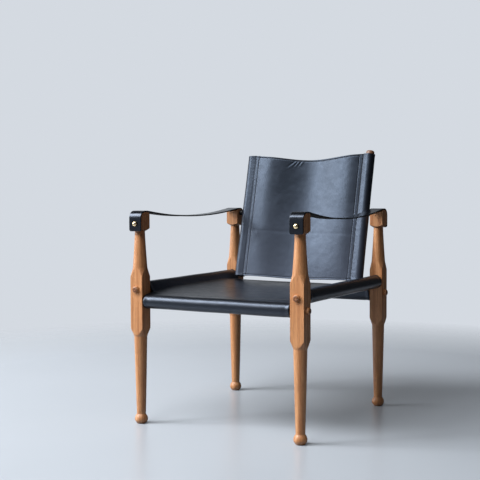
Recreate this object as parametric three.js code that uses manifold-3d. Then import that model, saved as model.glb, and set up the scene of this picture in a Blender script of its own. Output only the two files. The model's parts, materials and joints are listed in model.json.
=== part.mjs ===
// A campaign chair: four turned wooden legs, round rails that plug into them, a leather seat
// stretched round the rails, a leather back that swings on two pins, and leather arm straps.
// Millimetres, +Z up, +Y towards the back. Left and right are as seen from the front.
import * as THREE from 'three';
import { mergeVertices } from 'three/addons/utils/BufferGeometryUtils.js';
import Module from 'manifold-3d';

// Whole chair
const legSpacingX = 503;
const legSpacingY = 538;
const clearance = 0.3;
const overrun = 5;

// Leg, from the floor up
const legLength = 600;
const legStock = 40;
const footBaseRadius = 12;
const footRadius = 18.5;
const footWideHeight = 12;
const footLength = 27;
const ankleRadius = 12.65;
const calfRadius = 18.35;
const lowerShoulderLength = 23.4;
const blockBelowRail = 77;
const blockAboveRail = 35;
const upperShoulderLength = 26.5;
const collarRadius = 20.3;
const neckRadius = 14.25;
const headShoulderLength = 8.4;
const headLength = 46;
const headOuterRound = 18;
const headInnerRound = 9;

// How fast each turned length swells, as a power of the share of its length
const calfSwellShare = 0.87;
const shoulderSwellShare = 1.2;
const neckSwellShare = 1.25;

// Rails: the side rails run front to back, and the cross rails lie lower
const sideRailHeight = 382.5;
const railDrop = 34;
const railRadius = 16.5;
const railShoulderLength = 12;
const tenonRootRadius = 10.6;
const tenonRadius = 9.5;
const nubLength = 9;
const nubRound = 5;
const dimpleRadius = 2.4;
const dimpleDepth = 1.5;

// Seat leather
const seatLeather = 3.2;
const seatSeamReach = 26;
const seatSag = 6;
const seatSideRise = 3.5;
const backSleeveSlack = 7;
const sleeveEndGap = 2.5;

// Back: its uprights, its leather and its pivots
const backTiltDegrees = 14.15;
const uprightRadius = 12.5;
const leftUprightAbovePivot = 190;
const rightUprightAbovePivot = 199;
const uprightBelowPivot = 201;
const uprightRound = 5;
const backLeather = 2.7;
const leatherAbovePivot = 187.5;
const leatherBelowPivot = 203;
const backSeamReach = 19.3;
const backBow = 24;
const backTopDip = 15;
const backHemDrop = 5;
const pivotBelowTop = 12;
const pinRadius = 4;
const pinChamfer = 0.8;
const pinInLeg = 24;
const pinInUpright = 17.5;
const spacerLength = 10.1;
const spacerRadius = 8;

// Arm straps and the studs that hold them
const strapThickness = 3.5;
const strapDrop = 54;
const strapCorner = 6;
const leftStrapSag = 17;
const rightStrapSag = 21;
const studBelowTop = 33;
const studHeadRadius = 6.5;
const studHeadHeight = 6;
const studRim = 1.2;
const studShankRadius = 2.5;
const studShankLength = 18;

// Places worked out from the sizes
const legX = legSpacingX / 2;
const legY = legSpacingY / 2;
const legHalf = legStock / 2;
const cornerRadius = legHalf * Math.SQRT2;
const crossRailHeight = sideRailHeight - railDrop;
const blockBottom = crossRailHeight - blockBelowRail;
const blockTop = sideRailHeight + blockAboveRail;
const headBottom = legLength - headLength;
const seatSleeveBore = railRadius + clearance;
const seatSleeveRadius = seatSleeveBore + seatLeather;
const seatTop = crossRailHeight + seatSleeveRadius;
const backSleeveBore = uprightRadius + clearance;
const backSleeveRadius = backSleeveBore + backLeather;
const spacerOuterX = legX - legHalf - clearance;
const uprightX = spacerOuterX - spacerLength - clearance - backSleeveRadius;
const pivotHeight = legLength - pivotBelowTop;
const backTilt = THREE.MathUtils.degToRad(backTiltDegrees);
const strapWidth = legStock;
const studHeight = legLength - studBelowTop;
const studFaceY = legY + legHalf + clearance + strapThickness + clearance;

// How finely round things are divided
const legSides = 24;
const railSides = 20;
const smallSides = 16;
const arcSteps = 5;
const seatColumns = 14;
const seatRows = 14;
const backColumns = 20;
const backRows = 6;
const strapSteps = 14;
const weldDistance = 1e-4;

const wood = new THREE.MeshStandardMaterial({ color: 0xb98355, roughness: 0.5, metalness: 0 });
const seatHide = new THREE.MeshStandardMaterial({ color: 0x23262d, roughness: 0.42, metalness: 0 });
const backHide = new THREE.MeshStandardMaterial({ color: 0x2b3038, roughness: 0.42, metalness: 0 });
const strapHide = new THREE.MeshStandardMaterial({ color: 0x1c1e23, roughness: 0.45, metalness: 0 });
const brass = new THREE.MeshStandardMaterial({ color: 0xd8b46a, roughness: 0.28, metalness: 1 });

const wasm = await Module();
wasm.setup();

// A closed solid from a closed geometry: shared corners are joined and empty faces dropped.
function solid(geometry) {
  const bare = geometry.clone();
  bare.deleteAttribute('normal');
  bare.deleteAttribute('uv');
  const welded = mergeVertices(bare, weldDistance);
  const index = welded.index.array;
  const kept = [];
  for (let i = 0; i < index.length; i += 3) {
    const [a, b, c] = [index[i], index[i + 1], index[i + 2]];
    if (a !== b && b !== c && c !== a) kept.push(a, b, c);
  }
  return new wasm.Manifold(new wasm.Mesh({
    numProp: 3,
    vertProperties: new Float32Array(welded.attributes.position.array),
    triVerts: new Uint32Array(kept),
  }));
}

// A named mesh from a solid.
function piece(name, body, material) {
  const result = body.getMesh();
  const geometry = new THREE.BufferGeometry();
  geometry.setAttribute('position', new THREE.BufferAttribute(result.vertProperties, 3));
  geometry.setIndex(new THREE.BufferAttribute(result.triVerts, 1));
  geometry.computeVertexNormals();
  const mesh = new THREE.Mesh(geometry, material);
  mesh.name = name;
  return mesh;
}

// A turned shape about +Z from [radius, height] pairs listed upwards.
function turned(pairs, sides) {
  const points = pairs.map(([radius, height]) => new THREE.Vector2(radius, height));
  return new THREE.LatheGeometry(points, sides).rotateX(Math.PI / 2);
}

// A plain rod about +Z, from one height to another.
function rod(radius, from, to, sides) {
  return turned([[0, from], [radius, from], [radius, to], [0, to]], sides);
}

// An outline drawn in the plane of two directions, given depth both ways across that plane.
function prism(shape, depth, across, up, centre = new THREE.Vector3()) {
  const geometry = new THREE.ExtrudeGeometry(shape, {
    depth,
    bevelEnabled: false,
    curveSegments: arcSteps,
  });
  const through = new THREE.Vector3().crossVectors(across, up);
  const basis = new THREE.Matrix4().makeBasis(across, up, through);
  geometry.translate(0, 0, -depth / 2);
  geometry.applyMatrix4(basis);
  return geometry.translate(centre.x, centre.y, centre.z);
}

const alongX = new THREE.Vector3(1, 0, 0);
const alongY = new THREE.Vector3(0, 1, 0);
const alongZ = new THREE.Vector3(0, 0, 1);
const againstX = alongX.clone().negate();
const againstY = alongY.clone().negate();

// Radii between two heights that start slowly: the share of the way is raised to a power.
function swell(from, to, power, steps) {
  const pairs = [];
  for (let i = 1; i <= steps; i += 1) {
    const share = i / steps;
    const radius = from[0] + (to[0] - from[0]) * share ** power;
    pairs.push([radius, from[1] + (to[1] - from[1]) * share]);
  }
  return pairs;
}

// The same curve met from its other end.
function settle(from, to, power, steps) {
  const pairs = [];
  for (let i = 1; i <= steps; i += 1) {
    const left = 1 - i / steps;
    const radius = to[0] + (from[0] - to[0]) * left ** power;
    pairs.push([radius, to[1] + (from[1] - to[1]) * left]);
  }
  return pairs;
}

// The turned outline of a leg. It is wider than the square blank at the block and the head.
function legProfile() {
  const clearOfBlank = cornerRadius + overrun;
  const pairs = [[0, 0], [footBaseRadius, 0]];
  const footSteps = 3;
  for (let i = 1; i <= footSteps; i += 1) {
    const turn = (Math.PI / 2) * (i / footSteps);
    const radius = footBaseRadius + (footRadius - footBaseRadius) * Math.sin(turn);
    pairs.push([radius, footWideHeight * (i / footSteps)]);
  }
  const ankleSteps = 5;
  for (let i = 1; i <= ankleSteps; i += 1) {
    const share = i / ankleSteps;
    const bulge = 1 - share ** 2;
    const height = footWideHeight + (footLength - footWideHeight) * share;
    pairs.push([ankleRadius + (footRadius - ankleRadius) * bulge, height]);
  }
  const ankle = [ankleRadius, footLength];
  const calf = [calfRadius, blockBottom - lowerShoulderLength];
  const lowerCorner = [cornerRadius, blockBottom];
  const upperCorner = [cornerRadius, blockTop];
  const collar = [collarRadius, blockTop + upperShoulderLength];
  const neck = [neckRadius, headBottom - headShoulderLength];
  pairs.push(...swell(ankle, calf, calfSwellShare, 4));
  pairs.push(...swell(calf, lowerCorner, shoulderSwellShare, 4));
  pairs.push([clearOfBlank, blockBottom], [clearOfBlank, blockTop], upperCorner);
  pairs.push(...settle(upperCorner, collar, shoulderSwellShare, 4));
  pairs.push(...settle(collar, neck, neckSwellShare, 4));
  pairs.push([cornerRadius, headBottom], [clearOfBlank, headBottom]);
  pairs.push([clearOfBlank, legLength + overrun], [0, legLength + overrun]);
  return pairs;
}

// The square blank seen from the side, with the head's two edges that the strap bends over
// rounded. The larger rounding faces outwards, to the front or to the back of the chair.
function legBlank(outwards) {
  const outline = new THREE.Shape();
  const outerHeight = legLength - headOuterRound;
  const innerHeight = legLength - headInnerRound;
  outline.moveTo(-legHalf, 0);
  outline.lineTo(legHalf, 0);
  outline.lineTo(legHalf, outerHeight);
  outline.absarc(legHalf - headOuterRound, outerHeight, headOuterRound, 0, Math.PI / 2, false);
  outline.absarc(headInnerRound - legHalf, innerHeight, headInnerRound, Math.PI / 2, Math.PI, false);
  outline.closePath();
  const blank = prism(outline, legStock, alongY, alongZ);
  return outwards > 0 ? blank : blank.rotateZ(Math.PI);
}

// The end of a rail: nub, tapered tenon and shoulder, listed from the tip inwards.
function railEnd(spacing, grow) {
  const innerFace = (spacing - legStock) / 2;
  const outerFace = (spacing + legStock) / 2;
  const tip = outerFace + nubLength;
  const pairs = [];
  if (grow > 0) {
    pairs.push([0, tip + overrun], [tenonRadius + grow, tip + overrun]);
  } else {
    pairs.push([0, tip - dimpleDepth], [dimpleRadius, tip]);
    const roundSteps = 3;
    for (let i = 0; i <= roundSteps; i += 1) {
      const turn = (Math.PI / 2) * (i / roundSteps);
      const radius = tenonRadius - nubRound + nubRound * Math.sin(turn);
      pairs.push([radius, tip - nubRound + nubRound * Math.cos(turn)]);
    }
  }
  pairs.push([tenonRadius + grow, outerFace]);
  pairs.push([tenonRootRadius + grow, innerFace]);
  const shoulder = [tenonRootRadius + grow, innerFace];
  const body = [railRadius + grow, innerFace - railShoulderLength];
  pairs.push(...settle(shoulder, body, 2, 3));
  return pairs;
}

// A whole rail lying along +Z, or the shape that its hole is cut with when it is grown.
function railForm(spacing, grow = 0) {
  const end = railEnd(spacing, grow);
  const lower = end.map(([radius, height]) => [radius, -height]);
  return turned([...lower, ...end.reverse()], railSides);
}

// The four places where a leg stands, by name.
const corners = [
  { name: 'front_left', x: -legX, y: -legY },
  { name: 'front_right', x: legX, y: -legY },
  { name: 'back_left', x: -legX, y: legY },
  { name: 'back_right', x: legX, y: legY },
];

// A rail or its cutter, turned to lie across the chair or from front to back.
function crossRailForm(grow) {
  return railForm(legSpacingX, grow).rotateY(Math.PI / 2);
}

function sideRailForm(grow) {
  return railForm(legSpacingY, grow).rotateX(Math.PI / 2);
}

function makeLegs() {
  const turnedForm = solid(turned(legProfile(), legSides));
  return corners.map(({ name, x, y }) => {
    const sideCut = sideRailForm(clearance).translate(0, -y, sideRailHeight);
    const crossCut = crossRailForm(clearance).translate(-x, 0, crossRailHeight);
    const studEnd = legHalf + overrun;
    const studCut = rod(studShankRadius + clearance, legHalf - studShankLength, studEnd, smallSides);
    studCut.rotateX(-Math.sign(y) * Math.PI / 2);
    studCut.translate(0, 0, studHeight);
    let body = solid(legBlank(Math.sign(y))).intersect(turnedForm);
    body = body.subtract(solid(sideCut)).subtract(solid(crossCut)).subtract(solid(studCut));
    if (y > 0) {
      const pinEnd = legHalf + overrun;
      const pinCut = rod(pinRadius + clearance, legHalf - pinInLeg - clearance, pinEnd, smallSides);
      pinCut.rotateY(-Math.sign(x) * Math.PI / 2);
      pinCut.translate(0, 0, pivotHeight);
      body = body.subtract(solid(pinCut));
    }
    const leg = piece(`leg_${name}`, body, wood);
    leg.position.set(x, y, 0);
    return leg;
  });
}

function makeRails() {
  const front = piece('front_rail', solid(crossRailForm(0)), wood);
  const back = piece('back_rail', solid(crossRailForm(0)), wood);
  const left = piece('side_rail_left', solid(sideRailForm(0)), wood);
  const right = piece('side_rail_right', solid(sideRailForm(0)), wood);
  front.position.set(0, -legY, crossRailHeight);
  back.position.set(0, legY, crossRailHeight);
  left.position.set(-legX, 0, sideRailHeight);
  right.position.set(legX, 0, sideRailHeight);
  return [front, back, left, right];
}

// The section of a sewn sleeve round a rod at the origin. The leather goes round the rod and
// both its layers run straight to the seam, whose place is given along the panel and up from
// the rod. Slack lets the far side hang below the rod.
function sleeveSection(radius, seamAlong, seamUp, slack) {
  const upper = Math.atan2(seamUp, seamAlong);
  const upperTurn = Math.acos(radius / Math.hypot(seamAlong, seamUp));
  const lower = Math.atan2(seamUp + slack, seamAlong);
  const lowerTurn = Math.acos(radius / Math.hypot(seamAlong, seamUp + slack));
  const start = upper + upperTurn;
  const end = lower - lowerTurn;
  const outline = new THREE.Shape();
  outline.moveTo(seamAlong, seamUp);
  outline.lineTo(radius * Math.cos(start), radius * Math.sin(start));
  outline.absarc(0, 0, radius, start, Math.PI, false);
  if (slack > 0) outline.lineTo(-radius, -slack);
  outline.absarc(0, -slack, radius, Math.PI, end + 2 * Math.PI, false);
  outline.closePath();
  return outline;
}

// A sleeve as an outer solid and the hollow to cut from it, of one length.
function sleeve(bore, leather, seam, slack, length, across, up, centre) {
  const outer = bore + leather;
  const scale = outer / bore;
  const skin = sleeveSection(outer, seam.along * scale, seam.up * scale, slack);
  const hollow = sleeveSection(bore, seam.along, seam.up, slack);
  return {
    skin: solid(prism(skin, length, across, up, centre)),
    hollow: solid(prism(hollow, length + 2 * overrun, across, up, centre)),
  };
}

// Joins a panel and its sleeves, then opens the sleeves.
function sewn(panel, sleeves) {
  let body = panel;
  for (const { skin } of sleeves) body = body.add(skin);
  for (const { hollow } of sleeves) body = body.subtract(hollow);
  return body;
}

// The height of the seat panel's top: level over the cross rails, a little higher where it
// meets the side rails, and sagging in the middle.
function seatHeight(x, y) {
  const across = Math.min(1, Math.abs(x) / (legX - seatSeamReach));
  const along = Math.min(1, Math.abs(y) / legY);
  const open = (1 - along ** 2) ** 2;
  const rise = seatSideRise * across ** 4 * (1 - along ** 4);
  return seatTop + rise - seatSag * (1 - across ** 2) * open;
}

function makeSeat() {
  const crossLength = legSpacingX - legStock - 2 * sleeveEndGap;
  const sideLength = legSpacingY - legStock - 2 * sleeveEndGap;
  const slab = new THREE.BoxGeometry(
    crossLength, legSpacingY, seatLeather, seatColumns, seatRows, 1,
  );
  const place = slab.attributes.position;
  for (let i = 0; i < place.count; i += 1) {
    const level = seatHeight(place.getX(i), place.getY(i)) - seatLeather / 2;
    place.setZ(i, place.getZ(i) + level);
  }
  const flat = { along: seatSeamReach, up: seatSleeveBore };
  const sideSeamUp = seatTop + seatSideRise - seatLeather / 2 - sideRailHeight;
  const side = { along: seatSeamReach, up: sideSeamUp };
  const rail = (x, y, height) => new THREE.Vector3(x, y, height);
  return piece('seat_leather', sewn(solid(slab), [
    sleeve(seatSleeveBore, seatLeather, flat, 0, crossLength,
      alongY, alongZ, rail(0, -legY, crossRailHeight)),
    sleeve(seatSleeveBore, seatLeather, flat, backSleeveSlack, crossLength,
      againstY, alongZ, rail(0, legY, crossRailHeight)),
    sleeve(seatSleeveBore, seatLeather, side, 0, sideLength,
      alongX, alongZ, rail(-legX, 0, sideRailHeight)),
    sleeve(seatSleeveBore, seatLeather, side, 0, sideLength,
      againstX, alongZ, rail(legX, 0, sideRailHeight)),
  ]), seatHide);
}

// An upright about the back's own +Z, with its blind hole for the pivot pin.
function makeUpright(name, side, abovePivot) {
  const pairs = [[0, -uprightBelowPivot], [uprightRadius, -uprightBelowPivot]];
  const roundSteps = 3;
  for (let i = 0; i <= roundSteps; i += 1) {
    const turn = (Math.PI / 2) * (i / roundSteps);
    const radius = uprightRadius - uprightRound + uprightRound * Math.cos(turn);
    pairs.push([radius, abovePivot - uprightRound + uprightRound * Math.sin(turn)]);
  }
  pairs.push([0, abovePivot]);
  const holeStart = uprightRadius - pinInUpright - clearance;
  const hole = rod(pinRadius + clearance, holeStart, uprightRadius + overrun, smallSides);
  hole.rotateY(side * Math.PI / 2);
  const upright = piece(name, solid(turned(pairs, railSides)).subtract(solid(hole)), wood);
  upright.position.set(side * uprightX, 0, 0);
  return upright;
}

// How far the back panel has given way at a place across it, from 0 at its seams to 1.
function give(x) {
  const share = Math.min(1, Math.abs(x) / (uprightX - backSeamReach));
  return (1 + Math.cos(Math.PI * share)) / 2;
}

// The back leather in the back's own frame: the pivots are on its X axis.
function makeBackLeather() {
  const height = leatherAbovePivot + leatherBelowPivot;
  const slab = new THREE.BoxGeometry(
    2 * uprightX, backLeather, height, backColumns, 1, backRows,
  );
  const place = slab.attributes.position;
  for (let i = 0; i < place.count; i += 1) {
    const slack = give(place.getX(i));
    const share = place.getZ(i) / height + 1 / 2;
    const top = leatherAbovePivot - backTopDip * slack;
    const bottom = -leatherBelowPivot - backHemDrop * slack;
    const front = backLeather / 2 - backSleeveRadius;
    place.setY(i, place.getY(i) + front + backBow * slack);
    place.setZ(i, bottom + (top - bottom) * share);
  }
  const seam = { along: backSeamReach, up: backSleeveBore };
  const middle = (leatherAbovePivot - leatherBelowPivot) / 2;
  const rail = (side) => new THREE.Vector3(side * uprightX, 0, middle);
  let body = sewn(solid(slab), [
    sleeve(backSleeveBore, backLeather, seam, 0, height, alongX, againstY, rail(-1)),
    sleeve(backSleeveBore, backLeather, seam, 0, height, againstX, againstY, rail(1)),
  ]);
  for (const side of [-1, 1]) {
    const hole = rod(pinRadius + clearance, 0, backSleeveRadius + overrun, smallSides);
    hole.rotateY(side * Math.PI / 2);
    hole.translate(side * uprightX, 0, 0);
    body = body.subtract(solid(hole));
  }
  return piece('back_leather', body, backHide);
}

function makeBack() {
  const back = new THREE.Group();
  back.add(makeUpright('back_upright_left', -1, leftUprightAbovePivot));
  back.add(makeUpright('back_upright_right', 1, rightUprightAbovePivot));
  back.add(makeBackLeather());
  back.position.set(0, legY, pivotHeight);
  back.rotation.x = -backTilt;
  return back;
}

// Each side's pivot: a pin in the leg's head and the leather spacer that keeps the back off the leg.
function makePivots() {
  const pieces = [];
  for (const [name, side] of [['left', -1], ['right', 1]]) {
    const outer = legX - legHalf + pinInLeg;
    const inner = uprightX + uprightRadius - pinInUpright;
    const pinPairs = [
      [0, inner],
      [pinRadius - pinChamfer, inner],
      [pinRadius, inner + pinChamfer],
      [pinRadius, outer - pinChamfer],
      [pinRadius - pinChamfer, outer],
      [0, outer],
    ];
    const pin = solid(turned(pinPairs, smallSides).rotateY(side * Math.PI / 2));
    const ring = rod(spacerRadius, spacerOuterX - spacerLength, spacerOuterX, smallSides);
    const bore = rod(pinRadius + clearance, uprightX, legX, smallSides);
    ring.rotateY(side * Math.PI / 2);
    bore.rotateY(side * Math.PI / 2);
    pieces.push(piece(`pivot_pin_${name}`, pin, brass));
    pieces.push(piece(`pivot_spacer_${name}`, solid(ring).subtract(solid(bore)), strapHide));
  }
  for (const mesh of pieces) mesh.position.set(0, legY, pivotHeight);
  return pieces;
}

// One face of a strap from the front drop to the back drop, at an offset from the heads.
// Between the heads it hangs in a parabola.
function strapFace(offset, sag) {
  const outer = headOuterRound + offset;
  const inner = headInnerRound + offset;
  const farCentre = legY + legHalf - headOuterRound;
  const farHeight = legLength - headOuterRound;
  const nearCentre = legY - legHalf + headInnerRound;
  const nearHeight = legLength - headInnerRound;
  const leave = Math.atan(4 * sag / (2 * nearCentre));
  const leaveY = nearCentre - inner * Math.sin(leave);
  const leaveHeight = nearHeight + inner * Math.cos(leave);
  const half = [[farCentre + outer, legLength - strapDrop]];
  for (let i = 0; i <= arcSteps; i += 1) {
    const turn = (Math.PI / 2) * (i / arcSteps);
    half.push([farCentre + outer * Math.cos(turn), farHeight + outer * Math.sin(turn)]);
  }
  half.push([nearCentre, nearHeight + inner]);
  const hang = Math.tan(leave) * leaveY / 2;
  for (let i = strapSteps / 2; i > 0; i -= 1) {
    const share = i / (strapSteps / 2);
    half.push([leaveY * share, leaveHeight - hang * (1 - share ** 2)]);
  }
  const front = half.map(([y, height]) => new THREE.Vector2(-y, height));
  const middle = new THREE.Vector2(0, leaveHeight - hang);
  const back = half.map(([y, height]) => new THREE.Vector2(y, height)).reverse();
  return [...front, middle, ...back];
}

// The strap's face view: straight sides and rounded lower corners.
function strapFrontView() {
  const half = strapWidth / 2;
  const low = legLength - strapDrop;
  const outline = new THREE.Shape();
  outline.moveTo(-half, legLength + strapDrop);
  outline.lineTo(-half, low + strapCorner);
  outline.absarc(strapCorner - half, low + strapCorner, strapCorner, Math.PI, 1.5 * Math.PI, false);
  outline.absarc(half - strapCorner, low + strapCorner, strapCorner, 1.5 * Math.PI, 2 * Math.PI, false);
  outline.lineTo(half, legLength + strapDrop);
  outline.closePath();
  return outline;
}

function makeStrap(name, side, sag) {
  const skin = strapFace(clearance + strapThickness, sag);
  const loop = [...skin, ...strapFace(clearance, sag).reverse()];
  const band = prism(new THREE.Shape(loop.reverse()), strapWidth, alongY, alongZ);
  const depth = 2 * (legSpacingY + legStock);
  let body = solid(band).intersect(solid(prism(strapFrontView(), depth, alongX, alongZ)));
  for (const end of [-1, 1]) {
    const hole = rod(studShankRadius + clearance, legY, legY + legStock, smallSides);
    hole.rotateX(-end * Math.PI / 2);
    hole.translate(0, 0, studHeight);
    body = body.subtract(solid(hole));
  }
  const strap = piece(name, body, strapHide);
  strap.position.set(side * legX, 0, 0);
  return strap;
}

// A round-headed brass stud about +Z: its head sits above zero and its shank below.
function studForm() {
  const reach = studShankLength + strapThickness + clearance;
  const pairs = [[0, -reach], [studShankRadius, -reach], [studShankRadius, 0], [studHeadRadius, 0]];
  const domeSteps = 4;
  for (let i = 0; i < domeSteps; i += 1) {
    const turn = (Math.PI / 2) * (i / domeSteps);
    const height = studRim + (studHeadHeight - studRim) * Math.sin(turn);
    pairs.push([studHeadRadius * Math.cos(turn), height]);
  }
  pairs.push([0, studHeadHeight]);
  return turned(pairs, smallSides);
}

function makeStuds() {
  return corners.map(({ name, x, y }) => {
    const stud = piece(`strap_stud_${name}`, solid(studForm()), brass);
    stud.position.set(x, Math.sign(y) * studFaceY, studHeight);
    stud.rotation.x = -Math.sign(y) * Math.PI / 2;
    return stud;
  });
}

// The whole chair. Its origin is on the floor, in the middle of its length and width.
const chair = new THREE.Group();
chair.add(...makeLegs(), ...makeRails(), makeSeat(), makeBack(), ...makePivots());
chair.add(makeStrap('arm_strap_left', -1, leftStrapSag));
chair.add(makeStrap('arm_strap_right', 1, rightStrapSag));
chair.add(...makeStuds());
const span = new THREE.Box3().setFromObject(chair);
chair.position.y = -(span.min.y + span.max.y) / 2;

export default chair;
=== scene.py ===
"""A campaign chair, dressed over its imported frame: turned wooden legs, plug-in rails, a leather
seat stretched round the rails, a leather back on two pivots, and leather arm straps.

Metres, +Z up, +Y towards the back of the chair. Left and right are as seen from the front.
Each piece is a surface worked out with numpy, and each finish is made of shader nodes.
"""
import json
import math

import bmesh
import bpy
import numpy as np
from bpy.props import FloatProperty, FloatVectorProperty, PointerProperty
from mathutils import Matrix, Vector


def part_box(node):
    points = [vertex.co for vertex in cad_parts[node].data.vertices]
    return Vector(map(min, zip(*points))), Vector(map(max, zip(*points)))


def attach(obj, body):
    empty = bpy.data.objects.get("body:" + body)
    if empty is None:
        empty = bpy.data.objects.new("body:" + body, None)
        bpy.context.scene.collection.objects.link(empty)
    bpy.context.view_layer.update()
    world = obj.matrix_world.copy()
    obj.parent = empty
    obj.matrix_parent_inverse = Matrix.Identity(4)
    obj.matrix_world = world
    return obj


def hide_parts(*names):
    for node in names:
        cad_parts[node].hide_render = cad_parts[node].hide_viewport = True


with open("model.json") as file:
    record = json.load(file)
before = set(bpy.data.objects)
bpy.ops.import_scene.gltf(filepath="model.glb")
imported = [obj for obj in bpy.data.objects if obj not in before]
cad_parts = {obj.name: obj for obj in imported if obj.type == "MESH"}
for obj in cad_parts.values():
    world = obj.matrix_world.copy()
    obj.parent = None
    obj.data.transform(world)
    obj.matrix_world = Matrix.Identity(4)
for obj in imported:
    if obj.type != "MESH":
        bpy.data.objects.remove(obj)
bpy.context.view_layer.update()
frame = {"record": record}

bl_info = {
    "name": "Campaign Chair",
    "version": (1, 0, 0),
    "blender": (4, 5, 0),
    "location": "View3D > Sidebar > Chair",
    "description": "Dresses a campaign chair in turned wood, black leather and brass",
    "category": "Add Mesh",
}

# The four corners and which way along Y each faces, and the two sides and their way along X
CORNERS = {"front_left": -1.0, "front_right": -1.0, "back_left": 1.0, "back_right": 1.0}
SIDES = {"left": -1.0, "right": 1.0}


def box_middle(node):
    """The centre of a frame node's box."""
    low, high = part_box(node)
    return (low + high) / 2


# Gaps between pieces that touch, and between two plies of leather; closer points are one point
SNUG_GAP = 0.0003
PLY_GAP = 0.0004
ONE_POINT = 1e-5

# Leg, from the floor up
LEG_LENGTH = 0.600
LEG_HALF = 0.020
LEG_CORNER = LEG_HALF * math.sqrt(2)
FOOT_BASE_RADIUS = 0.012
FOOT_RADIUS = 0.0185
FOOT_WIDE_HEIGHT = 0.012
FOOT_LENGTH = 0.027
ANKLE_RADIUS = 0.01265
CALF_RADIUS = 0.01835
CALF_TOP = 0.2481
BLOCK_BOTTOM = 0.2715
BLOCK_TOP = 0.4175
COLLAR_RADIUS = 0.0203
COLLAR_HEIGHT = 0.444
NECK_RADIUS = 0.01425
NECK_TOP = 0.5456
HEAD_BOTTOM = 0.554
HEAD_OUTER_ROUND = 0.018
HEAD_INNER_ROUND = 0.009
CALF_SWELL = 0.87
SHOULDER_SWELL = 1.2
NECK_SWELL = 1.25
EDGE_BREAK = 0.0008
EDGE_SHARPNESS = 70
LEG_STEPS_PER_SIDE = 68

# Rails
RAIL_SIDES = 64
RAIL_RADIUS = 0.0165
RAIL_SHOULDER = 0.012
TENON_ROOT_RADIUS = 0.0106
TENON_RADIUS = 0.0095
NUB_LENGTH = 0.009
NUB_ROUND = 0.005
DIMPLE_RADIUS = 0.0024
DIMPLE_DEPTH = 0.0015
SIDE_RAIL = {side: box_middle(f"side_rail_{side}") for side in SIDES}
CROSS_RAIL = {end: box_middle(f"{end}_rail") for end in ("front", "back")}

# Seat
SEAT_LEATHER = 0.0032
SEAT_LOOP_RADIUS = RAIL_RADIUS + SNUG_GAP + SEAT_LEATHER / 2
SEAT_SEAM_REACH = 0.026
SEAT_SAG = 0.006
SEAT_SIDE_RISE = 0.012
SEAT_PULL = 0.0006
SEAT_PULL_FADE = 0.05
BACK_SLEEVE_SLACK = 0.007
SEAT_HALF_WIDTH = SIDE_RAIL["right"].x - SEAT_SEAM_REACH
SEAT_MIDDLE_Y = SIDE_RAIL["right"].y
SEAT_HALF_SPAN = (CROSS_RAIL["back"].y - CROSS_RAIL["front"].y) / 2
SEAT_HALF_DEPTH = SEAT_HALF_SPAN - SEAT_SEAM_REACH
SEAT_LEVEL = CROSS_RAIL["front"].z + SEAT_LOOP_RADIUS
SEAT_COLUMNS = 112
SEAT_ROWS = 120
SLEEVE_END_GAP = 0.0025
SLEEVE_WIDENS_OVER = 0.012
SLEEVE_FLARE = 0.0007
SLEEVE_FLARE_REACH = 0.007
SLEEVE_NECK = 0.0006
SLEEVE_NECK_PLACE = 0.013
SLEEVE_NECK_REACH = 0.005
SLEEVE_WAVE = 0.00025

# Back, in its own frame: the pivots are on its X axis and its front faces -Y
PIVOT = Vector(frame["record"]["behaviour"]["joints"][0]["pos_m"])
BACK_TILT = math.radians(14.15)
BACK_AXIS = (0.0, math.sin(BACK_TILT), math.cos(BACK_TILT))
UPRIGHT_X = box_middle("back_upright_right").x
UPRIGHT_SIDES = 48
UPRIGHT_RADIUS = 0.0125
UPRIGHT_TOP = {"left": 0.190, "right": 0.199}
UPRIGHT_BOTTOM = -0.201
UPRIGHT_ROUND = 0.005
BACK_LEATHER = 0.0027
BACK_LOOP_RADIUS = UPRIGHT_RADIUS + SNUG_GAP + BACK_LEATHER / 2
BACK_SEAM_REACH = 0.0193
BACK_HALF_WIDTH = UPRIGHT_X - BACK_SEAM_REACH
BACK_VALLEY_DEPTH = {"left": 0.011, "right": 0.0075}
BACK_VALLEY_WIDTH = {"left": 0.052, "right": 0.023}
BACK_VALLEY_AT_HEM = 0.35
BACK_VALLEY_GAIN = 0.75
BACK_SEAM_SINK = {"left": (0.0025, 0.0005), "right": (0.0035, 0.006)}
BACK_TOP = 0.1875
BACK_BOTTOM = -0.2105
BACK_BOW = 0.009
BACK_BOW_TOP = 0.026
BACK_BOW_EARLY = 0.9
BACK_GIVE_POWER = 1.4
BACK_TOP_DIP = 0.0115
BACK_HEM_DROP = 0.0025
BACK_HEM_SLANT = 0.001
BACK_WAVE = 0.0009
BACK_SLEEVE_WAVE = 0.0002
BACK_SLEEVE_FLARE = 0.0005
BACK_SLEEVE_FLARE_REACH = 0.006
FOLD_DEPTH = 0.0002
FOLD_UP = -0.064
FOLD_LEAN = -0.02
FOLD_WIDTH = 0.004
CREASE_GROOVE = 0.8
CREASE_GROOVE_PLACE = 1.6
# Creases at the top: place across, place up, lean, half length, width
TOP_CREASES = (
    (-0.060, 0.163, 1.10, 0.010, 0.0034),
    (-0.047, 0.165, 0.70, 0.009, 0.0030),
    (-0.035, 0.166, 0.60, 0.008, 0.0030),
)
# Points of the back's grid: in the middle, at each end, and the ends' share of a half
BACK_COLUMNS = (150, 20, 0.075)
BACK_ROWS = (120, 12, 0.045)
BACK_ROW_INSET = 0.008
PIN_SIDES = 32
PIN_RADIUS = 0.004
PIN_CHAMFER = 0.0008
SPACER_SIDES = 48
SPACER_RADIUS = 0.008
SPACER_EDGE = 0.0006

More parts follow.
